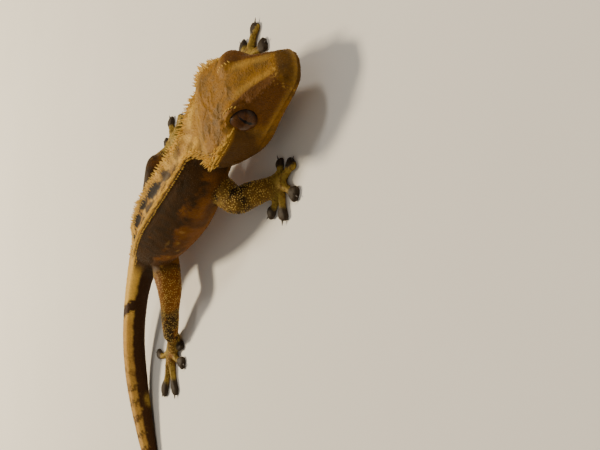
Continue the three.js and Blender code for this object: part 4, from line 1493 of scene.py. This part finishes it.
class Crest:
    """Rows of pointed scales from the brows over the skull's corners and down both sides of the back."""

    def __init__(self, gecko: Gecko, sizes: CrestSizes = CrestSizes()) -> None:
        """Keeps the animal and the crest's sizes."""
        self.gecko, self.sizes = gecko, sizes
        self.random = np.random.default_rng(sizes.seed)

    def build(self, tree: SpineTree, skin: BVHTree, finish: bpy.types.Material) -> list[bpy.types.Object]:
        """Makes the head's and the body's crest.

        Args:
            tree: Makes the spines.
            skin: The skin's surface.
            finish: Their material.

        Returns:
            The head's piece and the body's.
        """
        made = []
        for name, row in (("crest_head", self._head_rows()), ("crest_body", self._body_rows())):
            row.settle(skin, self.sizes.sink)
            made.append(row.grow(name, tree, finish, self.gecko, bend=0.16, fullness=2.4))
        return made

    def _vary(self, spread: float) -> float:
        """A random factor round one."""
        return 1.0 + spread * (2 * float(self.random.random()) - 1)

    def _body_rows(self) -> PointRow:
        """An uneven fringe down each side of the back, with smaller spines strewn beside it."""
        trunk, sizes = self.gecko.trunk, self.sizes
        made = PointRow()
        fine = np.arange(3.2, trunk.crest_end + 1.0, 0.05)
        rows = trunk.sizes.at(fine)
        centre = trunk.path.at(fine)
        _, left, up = trunk.path.axes(fine)
        for side in SIDES:
            ridge = centre + side * rows[:, 1:2] * left + rows[:, 2:3] * up
            reach_on = np.concatenate([[0.0], np.cumsum(np.linalg.norm(np.diff(ridge, axis=0), axis=1))])
            onward = unit(np.gradient(ridge, axis=0))
            outward = unit(np.cross(onward, up)) * side
            for inward, length, thin in sizes.body_fringes:
                for way in np.arange(0.0, reach_on[-1], sizes.body_step / thin):
                    way = way + sizes.body_step * 0.6 * float(self.random.random())
                    spot = min(int(np.searchsorted(reach_on, way)), len(fine) - 1)
                    nape = float(ease(np.array([fine[spot]]), 15.0, 6.0)[0])
                    share = float(trunk.crest_share(np.array([fine[spot]]))[0])
                    across = -0.15 - inward + 0.25 * sizes.scatter * (2 * float(self.random.random()) - 1)
                    rise = -0.15 + (0.1 * inward if inward > 0 else 0.8 * inward)
                    root = ridge[spot] + across * outward[spot] + rise * up[spot]
                    lean = up[spot] * self._vary(0.25)
                    lean = lean + (0.8 - 0.2 * inward) * outward[spot] * self._vary(0.3)
                    lean = lean + 0.3 * onward[spot] * self._vary(0.9)
                    reach = (0.72 * share + 0.22 + 0.35 * nape) * length * self._vary(0.3)
                    made.add(root, lean, sizes.girth * self._vary(0.15) * (0.7 + 0.3 * length), reach)
        return made

    def _head_rows(self) -> PointRow:
        """The fringe from behind each eye over the skull's corner, and a few small brow spines."""
        head, sizes = self.gecko.head, self.sizes
        made = PointRow()
        for side in SIDES:
            for inward, length, ahead in sizes.head_fringes:
                for forward in np.arange(ahead, -0.4, -sizes.head_step):
                    forward = forward + 0.5 * sizes.scatter * (2 * float(self.random.random()) - 1)
                    row = head.sizes.at(forward)[0]
                    growth = float(np.clip((11.0 - forward) / 8, 0.12, 1))
                    sway = 0.4 * sizes.scatter * (2 * float(self.random.random()) - 1)
                    down = -0.1 + (0.1 * inward if inward > 0 else 0.8 * inward)
                    back = -0.3 - 0.5 * float(np.clip((3.0 - forward) / 3, 0, 1))
                    self._stand(made, side, (forward, row[1] - 0.3 - inward + sway, row[2] + down),
                                (back, 1.0 - 0.2 * inward, 0.62), (0.35 + growth * 1.15) * length)
            for inward in np.arange(0.0, 2.4, 0.5):
                for depth, length in ((0.0, 1.0), (0.55, 0.6), (1.1, 0.45)):
                    forward = -0.3 - 0.18 * inward + depth
                    self._stand(made, side, (forward, 10.7 - inward - 0.3 * depth, -2.6 + 0.3 * depth),
                                (-0.75, 0.6, 0.8), sizes.corner_length * length)
            for forward in np.arange(17.2, 11.8, -0.9):
                self._stand(made, side, (forward, 5.0, 0.65), (-0.2, 0.8, 0.8), sizes.brow_length)
        return made

    def _stand(
        self, made: PointRow, side: int, place: Sequence[float], lean: Sequence[float], reach: float
    ) -> None:
        """Stands one spine on the head.

        Args:
            made: The row to add to.
            side: -1 for the right, 1 for the left.
            place: Its root in the head's frame.
            lean: Its way there.
            reach: Its length.
        """
        head = self.gecko.head
        root = head.place(np.array([place[0], side * place[1], place[2]]))
        turn = np.array([
            lean[0] * self._vary(1.0), side * lean[1] * self._vary(0.2), lean[2] * self._vary(0.35),
        ]) @ head.basis
        girth = self.sizes.girth * self._vary(0.15) * (0.6 + 0.4 * min(reach, 1.2))
        made.add(root, turn, girth, reach * self._vary(0.3))


class Claws:
    """A small dark curved claw past the end of each toe pad."""

    LENGTH = 1.3
    GIRTH = 0.26
    HEIGHT = 0.72
    SINK = 0.5

    def __init__(self, gecko: Gecko) -> None:
        """Keeps the animal."""
        self.gecko = gecko

    def build(self, tree: SpineTree, finish: bpy.types.Material) -> bpy.types.Object:
        """Makes all the claws as one piece."""
        made = PointRow()
        for limb in self.gecko.limbs:
            for path in limb.toe_paths():
                along = path.axes(path.length)[0][0] * np.array([1, 1, 0])
                tip = path.at(path.length)[0]
                root = np.array([tip[0], tip[1], self.HEIGHT]) - unit(along) * self.SINK
                made.add(root, unit(along) + np.array([0, 0, 0.02]), self.GIRTH, self.LENGTH + self.SINK)
        return made.grow("claws", tree, finish, self.gecko, bend=-0.1, fullness=1.5)


class ScaleCoat:
    """Small rounded scales over each region of the skin."""

    VERTICES = 12
    SPACING = {
        Region.HEAD: 0.47, Region.TRUNK: 0.47, Region.TAIL: 0.47, Region.LIMBS: 0.42, Region.FEET: 0.42,
    }
    FLATNESS = {
        Region.HEAD: 0.35, Region.TRUNK: 0.55, Region.TAIL: 0.45, Region.LIMBS: 0.7, Region.FEET: 0.6,
    }

    def __init__(self, gecko: Gecko, skin: Skin) -> None:
        """Keeps the animal and its skin."""
        self.gecko, self.skin = gecko, skin
        self.tree = ScaleTree()

    def build(self, region: Region, finish: bpy.types.Material) -> bpy.types.Object:
        """Spreads scales over one region.

        Args:
            region: Which region.
            finish: The scales' material.

        Returns:
            The piece.
        """
        patch = self.skin.patch(region)
        spacing = self.SPACING[region] * MM
        mesh = run_tree(patch, self.tree.tree, {
            "Spacing": spacing, "Most": 1.6 / spacing**2, "Flatness": self.FLATNESS[region],
            "Seed": list(Region).index(region) + 3, "Finish": finish,
        })
        bpy.data.objects.remove(patch)
        flat = np.empty(len(mesh.vertices) * 3, np.float32)
        mesh.attributes["root_place"].data.foreach_get("vector", flat)
        roots = flat.reshape(-1, 3)[:: self.VERTICES].astype(float) / MM - FOOTPRINT_SHIFT
        add_bake_map(mesh, roots, self.VERTICES, self.gecko)
        return coat_piece(f"scales_{region.value}", mesh)


class Eyes:
    """Two glossy eyes with a slit pupil."""

    RINGS = 56
    SIDES = 84

    def __init__(self, gecko: Gecko) -> None:
        """Keeps the animal."""
        self.gecko = gecko

    def build(self, side: int, name: str, finish: bpy.types.Material) -> bpy.types.Object:
        """Makes one eye.

        Args:
            side: -1 for the right, 1 for the left.
            name: The piece's name.
            finish: Its material.

        Returns:
            The eye.
        """
        head, eye = self.gecko.head, self.gecko.head.eye
        centre, look, ahead, above = eye.axes(side)
        polar = np.linspace(0, math.pi, self.RINGS)[1:-1]
        turn = np.arange(self.SIDES) / self.SIDES * FULL_TURN
        x = np.outer(np.sin(polar), np.cos(turn))
        y = np.outer(np.sin(polar), np.sin(turn))
        z = np.broadcast_to(np.cos(polar)[:, None], x.shape)
        ball = np.vstack([np.stack([x, y, z], axis=2).reshape(-1, 3), [0, 0, 1], [0, 0, -1]]) * eye.radius
        local = centre + ball @ np.stack([ahead, above, look])
        rows, sides = x.shape
        faces = []
        for row in range(rows - 1):
            for k in range(sides):
                onward = (k + 1) % sides
                near = row * sides
                faces.append((near + k, near + sides + k, near + sides + onward, near + onward))
        for k in range(sides):
            onward = (k + 1) % sides
            faces.append((rows * sides, k, onward))
            faces.append((rows * sides + 1, (rows - 1) * sides + onward, (rows - 1) * sides + k))
        made = mesh_object(name, (head.place(local) + FOOTPRINT_SHIFT) * MM, faces)
        write_value(made.data, "iris_ahead", ball[:, 0])
        write_value(made.data, "iris_above", ball[:, 1])
        write_value(made.data, "iris_front", ball[:, 2])
        work = bmesh.new()
        work.from_mesh(made.data)
        bmesh.ops.recalc_face_normals(work, faces=work.faces)
        work.to_mesh(made.data)
        work.free()
        made.data.shade_smooth()
        made.data.materials.append(finish)
        return made


# Finishes


Colour = tuple[float, float, float, float]


def rgb(red: float, green: float, blue: float) -> Colour:
    """A colour from screen values of 0 to 255, as light values."""
    made = []
    for value in (red, green, blue):
        share = value / 255
        made.append(share / 12.92 if share <= 0.04045 else ((share + 0.055) / 1.055) ** 2.4)
    return (made[0], made[1], made[2], 1.0)


class ShaderMaker(TreeMaker):
    """Adds shader nodes for finishes."""

    def value(self, name: str) -> bpy.types.NodeSocket:
        """A number kept on the mesh."""
        return self.node("ShaderNodeAttribute", attribute_name=name).outputs["Fac"]

    def mix(
        self, share: object, first: object, second: object, blend: str = "MIX"
    ) -> bpy.types.NodeSocket:
        """Blends two colours.

        Args:
            share: How much of the second.
            first: A colour.
            second: A colour.
            blend: How they blend.

        Returns:
            The blend.
        """
        made = self.node("ShaderNodeMix", data_type="RGBA", blend_type=blend)
        for index, value in ((0, share), (6, first), (7, second)):
            if isinstance(value, bpy.types.NodeSocket):
                self.tree.links.new(value, made.inputs[index])
            else:
                made.inputs[index].default_value = value
        return made.outputs[2]

    def noise(self, size: float, detail: float = 3.0) -> bpy.types.NodeSocket:
        """Noise with lumps of about a size in metres, read at object places."""
        place = self.node("ShaderNodeTexCoord").outputs["Object"]
        return self.node("ShaderNodeTexNoise", {
            "Vector": place, "Scale": 1.0 / size, "Detail": detail, "Roughness": 0.55,
        }).outputs[0]

    def step(self, value: object, low: float, high: float) -> bpy.types.NodeSocket:
        """Rises smoothly from 0 to 1 between two values."""
        return self.node("ShaderNodeMapRange", {
            "Value": value, "From Min": low, "From Max": high, "To Min": 0.0, "To Max": 1.0,
        }, interpolation_type="SMOOTHSTEP").outputs[0]


@dataclass(frozen=True)
class Palette:
    """The animal's colours."""

    back: Colour = rgb(238, 188, 84)
    back_tan: Colour = rgb(182, 132, 44)
    back_grain: Colour = rgb(248, 206, 104)
    blotch: Colour = rgb(36, 21, 4)
    # Partly the flank's own dark brown, partly painted shade of the side turned from the light
    flank: Colour = rgb(76, 48, 10)
    rust: Colour = rgb(136, 82, 13)
    # Rusty brown of the cheeks, darkened in part as painted shade
    cheek: Colour = rgb(102, 58, 12)
    belly: Colour = rgb(146, 96, 26)
    head: Colour = rgb(156, 108, 22)
    head_grey: Colour = rgb(116, 86, 34)
    cream: Colour = rgb(216, 168, 72)
    tail: Colour = rgb(242, 192, 82)
    tail_tan: Colour = rgb(192, 138, 66)
    # Dark brown of the tail's breaks and bands, also used for its sides, where it is partly painted shade
    tail_dark_and_shade: Colour = rgb(66, 38, 9)
    limb: Colour = rgb(126, 92, 30)
    limb_dark: Colour = rgb(56, 38, 11)
    grain: Colour = rgb(224, 186, 96)
    toe: Colour = rgb(176, 146, 62)
    pad: Colour = rgb(62, 50, 36)


class Markings:
    """The node group that colours skin, scales and spines alike."""

    def __init__(self, palette: Palette = Palette()) -> None:
        """Builds the group: places on the mesh in, colour and roughness out."""
        tree = bpy.data.node_groups.new("gecko_markings", "ShaderNodeTree")
        tree.interface.new_socket("Raised", in_out="INPUT", socket_type="NodeSocketFloat")
        tree.interface.new_socket("Colour", in_out="OUTPUT", socket_type="NodeSocketColor")
        tree.interface.new_socket("Grain", in_out="OUTPUT", socket_type="NodeSocketFloat")
        self.tree = tree
        make = ShaderMaker(tree)
        given = tree.nodes.new("NodeGroupInput")
        colour = self._body(make, palette, given.outputs["Raised"])
        colour = self._tail(make, palette, colour)
        colour = self._head(make, palette, colour)
        colour = self._limbs(make, palette, colour, given.outputs["Raised"])
        colour = make.mix(make.math("MULTIPLY", make.value("pale_mark"), 0.85), colour, palette.cream)
        fine = make.noise(0.00055, 2.0)
        shade = make.mix(1.0, colour, make.mix(fine, rgb(176, 172, 166), rgb(255, 255, 255)), "MULTIPLY")
        raised = make.mix(1.0, shade, rgb(150, 138, 104), "SCREEN")
        lift = make.math("MULTIPLY", given.outputs["Raised"], 0.03)
        end = tree.nodes.new("NodeGroupOutput")
        tree.links.new(make.mix(lift, shade, raised), end.inputs["Colour"])
        tree.links.new(fine, end.inputs["Grain"])

    @staticmethod
    def _body(make: ShaderMaker, palette: Palette, raised: bpy.types.NodeSocket) -> bpy.types.NodeSocket:
        """Cream back with brown blotches over dark flanks that turn rusty and tan below; the flanks' dark
        brown is partly painted shade.
        """
        mottle = make.noise(0.0034, 4.0)
        back = make.mix(make.step(mottle, 0.38, 0.62), palette.back, palette.back_tan)
        grain = make.math("MULTIPLY", make.step(make.noise(0.0009, 2.0), 0.4, 0.6), raised)
        back = make.mix(make.math("MULTIPLY", grain, 0.75), back, palette.back_grain)
        back = make.mix(make.value("dark_mark"), back, palette.blotch)
        # The flank's colour is partly painted shade: darker than the skin's own brown
        flank = make.mix(make.step(make.noise(0.0026), 0.35, 0.7), palette.flank, palette.limb_dark)
        flank = make.mix(make.math("MULTIPLY", make.value("rust_mark"), 0.9), flank, palette.rust)
        flank = make.mix(make.step(make.value("drop"), 0.72, 0.95), flank, palette.belly)
        return make.mix(make.value("crown"), flank, back)

    @staticmethod
    def _tail(make: ShaderMaker, palette: Palette, colour: bpy.types.NodeSocket) -> bpy.types.NodeSocket:
        """Cream above and dark brown at the sides, with dark breaks and bands; the sides' dark brown is
        partly painted shade.
        """
        ragged = make.math("ADD", make.value("drop"), make.math("MULTIPLY", make.noise(0.002), 0.16))
        # Darker down the sides and underneath: partly the tail's own dark brown, partly painted shade of the
        # side turned from the light
        side = make.step(ragged, 0.27, 0.42)
        late = make.step(make.value("body_along"), 0.535, 0.58)
        pale = make.mix(late, palette.tail, make.mix(make.noise(0.0016), palette.tail_tan, palette.back))
        tail = make.mix(side, pale, palette.tail_dark_and_shade)
        tail = make.mix(make.value("dark_mark"), tail, palette.tail_dark_and_shade)
        return make.mix(make.value("tail_part"), colour, tail)

    @staticmethod
    def _head(make: ShaderMaker, palette: Palette, colour: bpy.types.NodeSocket) -> bpy.types.NodeSocket:
        """Warm brown with grey mottling, rusty cheeks and dark temples; the darkness of the cheeks and
        temples is partly painted shade.
        """
        grey = make.step(make.noise(0.0042, 5.0), 0.46, 0.62)
        head = make.mix(make.math("MULTIPLY", grey, 0.7), palette.head, palette.head_grey)
        # Rusty cheeks, their colour darkened in part as painted shade
        head = make.mix(make.math("MULTIPLY", make.value("rust_mark"), 0.8), head, palette.cheek)
        # Temples in the flank's colour, which is partly painted shade
        head = make.mix(make.math("MULTIPLY", make.value("dark_mark"), 0.85), head, palette.flank)
        return make.mix(make.value("head_part"), colour, head)

    @staticmethod
    def _limbs(
        make: ShaderMaker, palette: Palette, colour: bpy.types.NodeSocket, raised: bpy.types.NodeSocket
    ) -> bpy.types.NodeSocket:
        """Olive limbs with dark bands and pale grains, cream toes and grey pads."""
        band = make.step(make.noise(0.0046, 3.0), 0.5, 0.58)
        limb = make.mix(band, palette.limb, palette.limb_dark)
        limb = make.mix(make.value("dark_mark"), limb, palette.limb_dark)
        limb = make.mix(make.value("rust_mark"), limb, palette.rust)
        speckle = make.step(make.noise(0.0011, 2.0), 0.38, 0.54)
        grain = make.math("MULTIPLY", make.math("MULTIPLY", speckle, raised), 0.85)
        limb = make.mix(grain, limb, palette.grain)
        foot = make.mix(make.step(make.noise(0.0013), 0.5, 0.68), palette.toe, palette.limb)
        limb = make.mix(make.value("foot_part"), limb, foot)
        limb = make.mix(make.value("pad_part"), limb, palette.pad)
        return make.mix(make.value("limb_part"), colour, limb)


def new_material(name: str) -> tuple[bpy.types.Material, ShaderMaker, bpy.types.Node]:
    """A material with a plain shader, its maker and the shader."""
    material = bpy.data.materials.new(name)
    material.use_nodes = True
    nodes = material.node_tree.nodes
    nodes.clear()
    shader = nodes.new("ShaderNodeBsdfPrincipled")
    output = nodes.new("ShaderNodeOutputMaterial")
    material.node_tree.links.new(shader.outputs[0], output.inputs[0])
    return material, ShaderMaker(material.node_tree), shader


def set_plain(shader: bpy.types.Node, values: dict[str, float]) -> None:
    """Sets the sockets of a shader that are the same all over."""
    for name, value in values.items():
        shader.inputs[name].default_value = value


@dataclass(frozen=True)
class SkinFinish:
    """Dry granular skin."""

    name: str = "gecko_skin"
    raised: float = 0.0
    roughness: float = 0.62
    bump: float = 0.5
    cell: float = 0.00042
    specular: float = 0.12

    def build(self, markings: Markings) -> bpy.types.Material:
        """Makes the material."""
        material, make, shader = new_material(self.name)
        group = make.node("ShaderNodeGroup", node_tree=markings.tree)
        group.inputs["Raised"].default_value = self.raised
        links = material.node_tree.links
        links.new(group.outputs["Colour"], shader.inputs["Base Color"])
        place = make.node("ShaderNodeTexCoord").outputs["Object"]
        cells = make.node("ShaderNodeTexVoronoi", {"Vector": place, "Scale": 1 / self.cell}, feature="F1")
        height = make.math("SUBTRACT", 1.0, cells.outputs["Distance"])
        bump = make.node("ShaderNodeBump", {"Strength": self.bump, "Distance": 0.00012, "Height": height})
        links.new(bump.outputs[0], shader.inputs["Normal"])
        rough = make.node("ShaderNodeMapRange", {
            "Value": group.outputs["Grain"], "To Min": self.roughness - 0.1, "To Max": self.roughness + 0.1,
        })
        links.new(rough.outputs[0], shader.inputs["Roughness"])
        set_plain(shader, {"Specular IOR Level": self.specular})
        return material


@dataclass(frozen=True)
class SpineFinish:
    """Cream horny spines and scales, marked as the skin is and mixed evenly with a pale cream that is dark
    brown in patches.
    """

    name: str = "crest_spines"
    tip: Colour = rgb(244, 196, 86)
    share: float = 0.6

    def build(self, markings: Markings) -> bpy.types.Material:
        """Makes the material."""
        material, make, shader = new_material(self.name)
        group = make.node("ShaderNodeGroup", node_tree=markings.tree)
        group.inputs["Raised"].default_value = 1.0
        darker = make.step(make.noise(0.0016, 2.0), 0.62, 0.72)
        tip = make.mix(make.math("MULTIPLY", darker, 0.7), self.tip, rgb(96, 66, 36))
        colour = make.mix(self.share, group.outputs["Colour"], tip)
        links = material.node_tree.links
        links.new(colour, shader.inputs["Base Color"])
        bump = make.node("ShaderNodeBump", {
            "Strength": 0.3, "Distance": 0.00005, "Height": make.noise(0.0002, 2.0),
        })
        links.new(bump.outputs[0], shader.inputs["Normal"])
        set_plain(shader, {"Roughness": 0.5, "Specular IOR Level": 0.2})
        return material


@dataclass(frozen=True)
class HornFinish:
    """Dark horn of the claws."""

    base: Colour = rgb(58, 44, 34)
    tip: Colour = rgb(28, 20, 16)

    def build(self) -> bpy.types.Material:
        """Makes the material."""
        material, make, shader = new_material("claw_horn")
        colour = make.mix(make.noise(0.0006, 3.0), self.base, self.tip)
        material.node_tree.links.new(colour, shader.inputs["Base Color"])
        set_plain(shader, {"Roughness": 0.5, "Specular IOR Level": 0.3})
        return material


@dataclass(frozen=True)
class EyeFinish:
    """Copper iris with fine threads and a wavy upright slit, under a wet surface."""

    iris: Colour = rgb(84, 50, 10)
    thread: Colour = rgb(58, 29, 7)
    rim: Colour = rgb(30, 17, 8)
    pupil: Colour = rgb(8, 5, 4)
    slit_half: float = 0.27
    slit_reach: float = 2.0
    slit_ahead: float = 1.1

    def build(self) -> bpy.types.Material:
        """Makes the material."""
        material, make, shader = new_material("gecko_eye")
        ahead, above, front = (make.value(f"iris_{way}") for way in ("ahead", "above", "front"))
        squares = (make.math("MULTIPLY", way, way) for way in (ahead, above))
        radius = make.math("SQRT", make.math("ADD", *squares))
        turn = make.math("ARCTAN2", above, ahead)
        threads = make.node("ShaderNodeTexNoise", {
            "Vector": make.node("ShaderNodeCombineXYZ", {
                0: make.math("MULTIPLY", turn, 5.0), 1: make.math("MULTIPLY", radius, 0.8),
            }).outputs[0], "Scale": 2.4, "Detail": 4.0, "Roughness": 0.65,
        }).outputs[0]
        iris = make.mix(make.step(threads, 0.38, 0.62), self.thread, self.iris)
        iris = make.mix(make.step(radius, 2.2, 3.0), iris, self.rim)
        wave = make.math("MULTIPLY", make.math("SINE", make.math("MULTIPLY", above, 5.6)), 0.06)
        share = make.math("DIVIDE", make.math("ABSOLUTE", above), self.slit_reach)
        slope = make.math("SUBTRACT", 1.0, make.math("POWER", share, 2.0))
        half = make.math("MULTIPLY", make.math("ADD", self.slit_half, wave), make.math("MAXIMUM", slope, 0.0))
        across = make.math("ABSOLUTE", make.math("SUBTRACT", ahead, self.slit_ahead))
        gap = make.math("SUBTRACT", across, half)
        pupil = make.math("MULTIPLY", make.step(gap, 0.05, -0.02), make.step(front, 0.0, 0.3))
        colour = make.mix(pupil, iris, self.pupil)
        material.node_tree.links.new(colour, shader.inputs["Base Color"])
        set_plain(shader, {
            "Roughness": 0.4, "Specular IOR Level": 0.05, "Coat Weight": 0.5,
            "Coat Roughness": 0.02, "Coat IOR": 1.36,
        })
        return material


@dataclass(frozen=True)
class FloorFinish:
    """Plain pale matt floor."""

    colour: Colour = rgb(226, 220, 210)

    def build(self) -> bpy.types.Material:
        """Makes the material."""
        material, make, shader = new_material("pale_floor")
        paler = make.mix(make.noise(0.05, 2.0), self.colour, rgb(232, 227, 218))
        material.node_tree.links.new(paler, shader.inputs["Base Color"])
        set_plain(shader, {"Roughness": 0.85})
        return material


# Studio


@dataclass(frozen=True)
class Lamp:
    """A soft rectangular light."""

    name: str
    way: tuple[float, float, float]
    distance: float
    size: float
    power: float
    colour: tuple[float, float, float]


@dataclass(frozen=True)
class Studio:
    """Floor, soft lights and the camera at the photograph's viewing angle."""

    lens: float = 51.96
    camera_place: tuple[float, float, float] = (-85.24, -186.22, 94.10)
    look: tuple[float, float, float] = (0.4059, 0.7650, -0.5)
    image_up: tuple[float, float, float] = (0.8834, -0.4687, 0.0)
    floor_half: float = 1.6
    sky: tuple[float, float, float, float] = (0.98, 0.93, 0.85, 1.0)
    sky_strength: float = 0.26
    lamps: tuple[Lamp, ...] = (
        Lamp("key_light", (0.42, 0.86, 1.0), 0.75, 0.12, 8.4, (1.0, 0.86, 0.62)),
        Lamp("soft_fill", (-0.75, -0.75, 0.9), 0.9, 0.8, 0.8, (1.0, 0.95, 0.86)),
        Lamp("eye_light", (0.458, -0.54, 0.706), 0.6, 0.1, 1.1, (1.0, 0.95, 0.86)),
    )

    def build(self, finish: bpy.types.Material) -> None:
        """Sets the stage."""
        self._floor(finish)
        self._camera()
        for lamp in self.lamps:
            self._lamp(lamp)
        world = bpy.data.worlds.new("studio")
        world.use_nodes = True
        sky = world.node_tree.nodes["Background"]
        sky.inputs["Color"].default_value = self.sky
        sky.inputs["Strength"].default_value = self.sky_strength
        bpy.context.scene.world = world

    def _floor(self, finish: bpy.types.Material) -> None:
        """A wide plain floor at the level of the feet."""
        half = self.floor_half
        corners = np.array([[-half, -half, 0], [half, -half, 0], [half, half, 0], [-half, half, 0]])
        floor = mesh_object("floor", corners, [(0, 1, 2, 3)])
        floor.data.materials.append(finish)

    def _camera(self) -> None:
        """Places the camera."""
        data = bpy.data.cameras.new("camera")
        data.lens, data.sensor_width, data.sensor_fit = self.lens, 36.0, "HORIZONTAL"
        data.clip_start, data.clip_end = 0.005, 10.0
        camera = bpy.data.objects.new("camera", data)
        bpy.context.scene.collection.objects.link(camera)
        back = -unit(np.array(self.look))
        right = unit(np.cross(np.array(self.image_up), back))
        turn = Matrix(np.stack([right, np.cross(back, right), back], axis=1).tolist()).to_4x4()
        camera.matrix_world = Matrix.Translation(Vector(self.camera_place) * MM) @ turn
        bpy.context.scene.camera = camera

    @staticmethod
    def _lamp(lamp: Lamp) -> None:
        """Hangs one light, aimed at the middle of the animal."""
        data = bpy.data.lights.new(lamp.name, "AREA")
        data.size, data.energy, data.color = lamp.size, lamp.power, lamp.colour
        hung = bpy.data.objects.new(lamp.name, data)
        bpy.context.scene.collection.objects.link(hung)
        way = Vector(lamp.way).normalized()
        hung.location = way * lamp.distance
        hung.rotation_mode = "QUATERNION"
        hung.rotation_quaternion = way.to_track_quat("Z", "Y")


FLESH_NODES = (
    "head", "neck", "torso_chest", "torso_belly", "torso_hips", "tail_base", "tail_middle", "tail_end",
    *(f"{name}_{side}" for side in ("right", "left")
      for name in ("upper_arm", "forearm", "hand", "thigh", "shin", "foot")),
)


def main() -> None:
    """Builds the animal, dresses it and sets the stage."""
    logging.basicConfig(level=logging.INFO, format="%(name)s %(message)s")
    gecko = Gecko()
    markings = Markings()
    skin_finish = SkinFinish().build(markings)
    beads = SkinFinish("gecko_scales", raised=1.0, roughness=0.55, bump=0.2, cell=0.0002)
    scale_finish = beads.build(markings)
    spine_finish = SpineFinish().build(markings)

    skin = Skin(gecko)
    hide = skin.build()
    hide.data.materials.append(skin_finish)
    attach(hide, "root")
    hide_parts(*FLESH_NODES)

    coat = ScaleCoat(gecko, skin)
    for region in Region:
        scales = coat.build(region, scale_finish)
        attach(scales, "root")

    surface = BVHTree.FromPolygons(
        (read_points(hide.data) / MM - FOOTPRINT_SHIFT).tolist(),
        [tuple(face.vertices) for face in hide.data.polygons],
    )
    spines = SpineTree()
    for piece, slot in zip(Crest(gecko).build(spines, surface, spine_finish), ("head_skin", "back_skin")):
        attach(piece, "root")
    claws = Claws(gecko).build(spines, HornFinish().build())
    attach(claws, "root")

    eye_finish = EyeFinish().build()
    for side, name in ((-1, "eye_right"), (1, "eye_left")):
        eye = Eyes(gecko).build(side, f"{name}_ball", eye_finish)
        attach(eye, "root")
        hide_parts(name)

    Studio().build(FloorFinish().build())


if __name__ == "__main__":
    main()
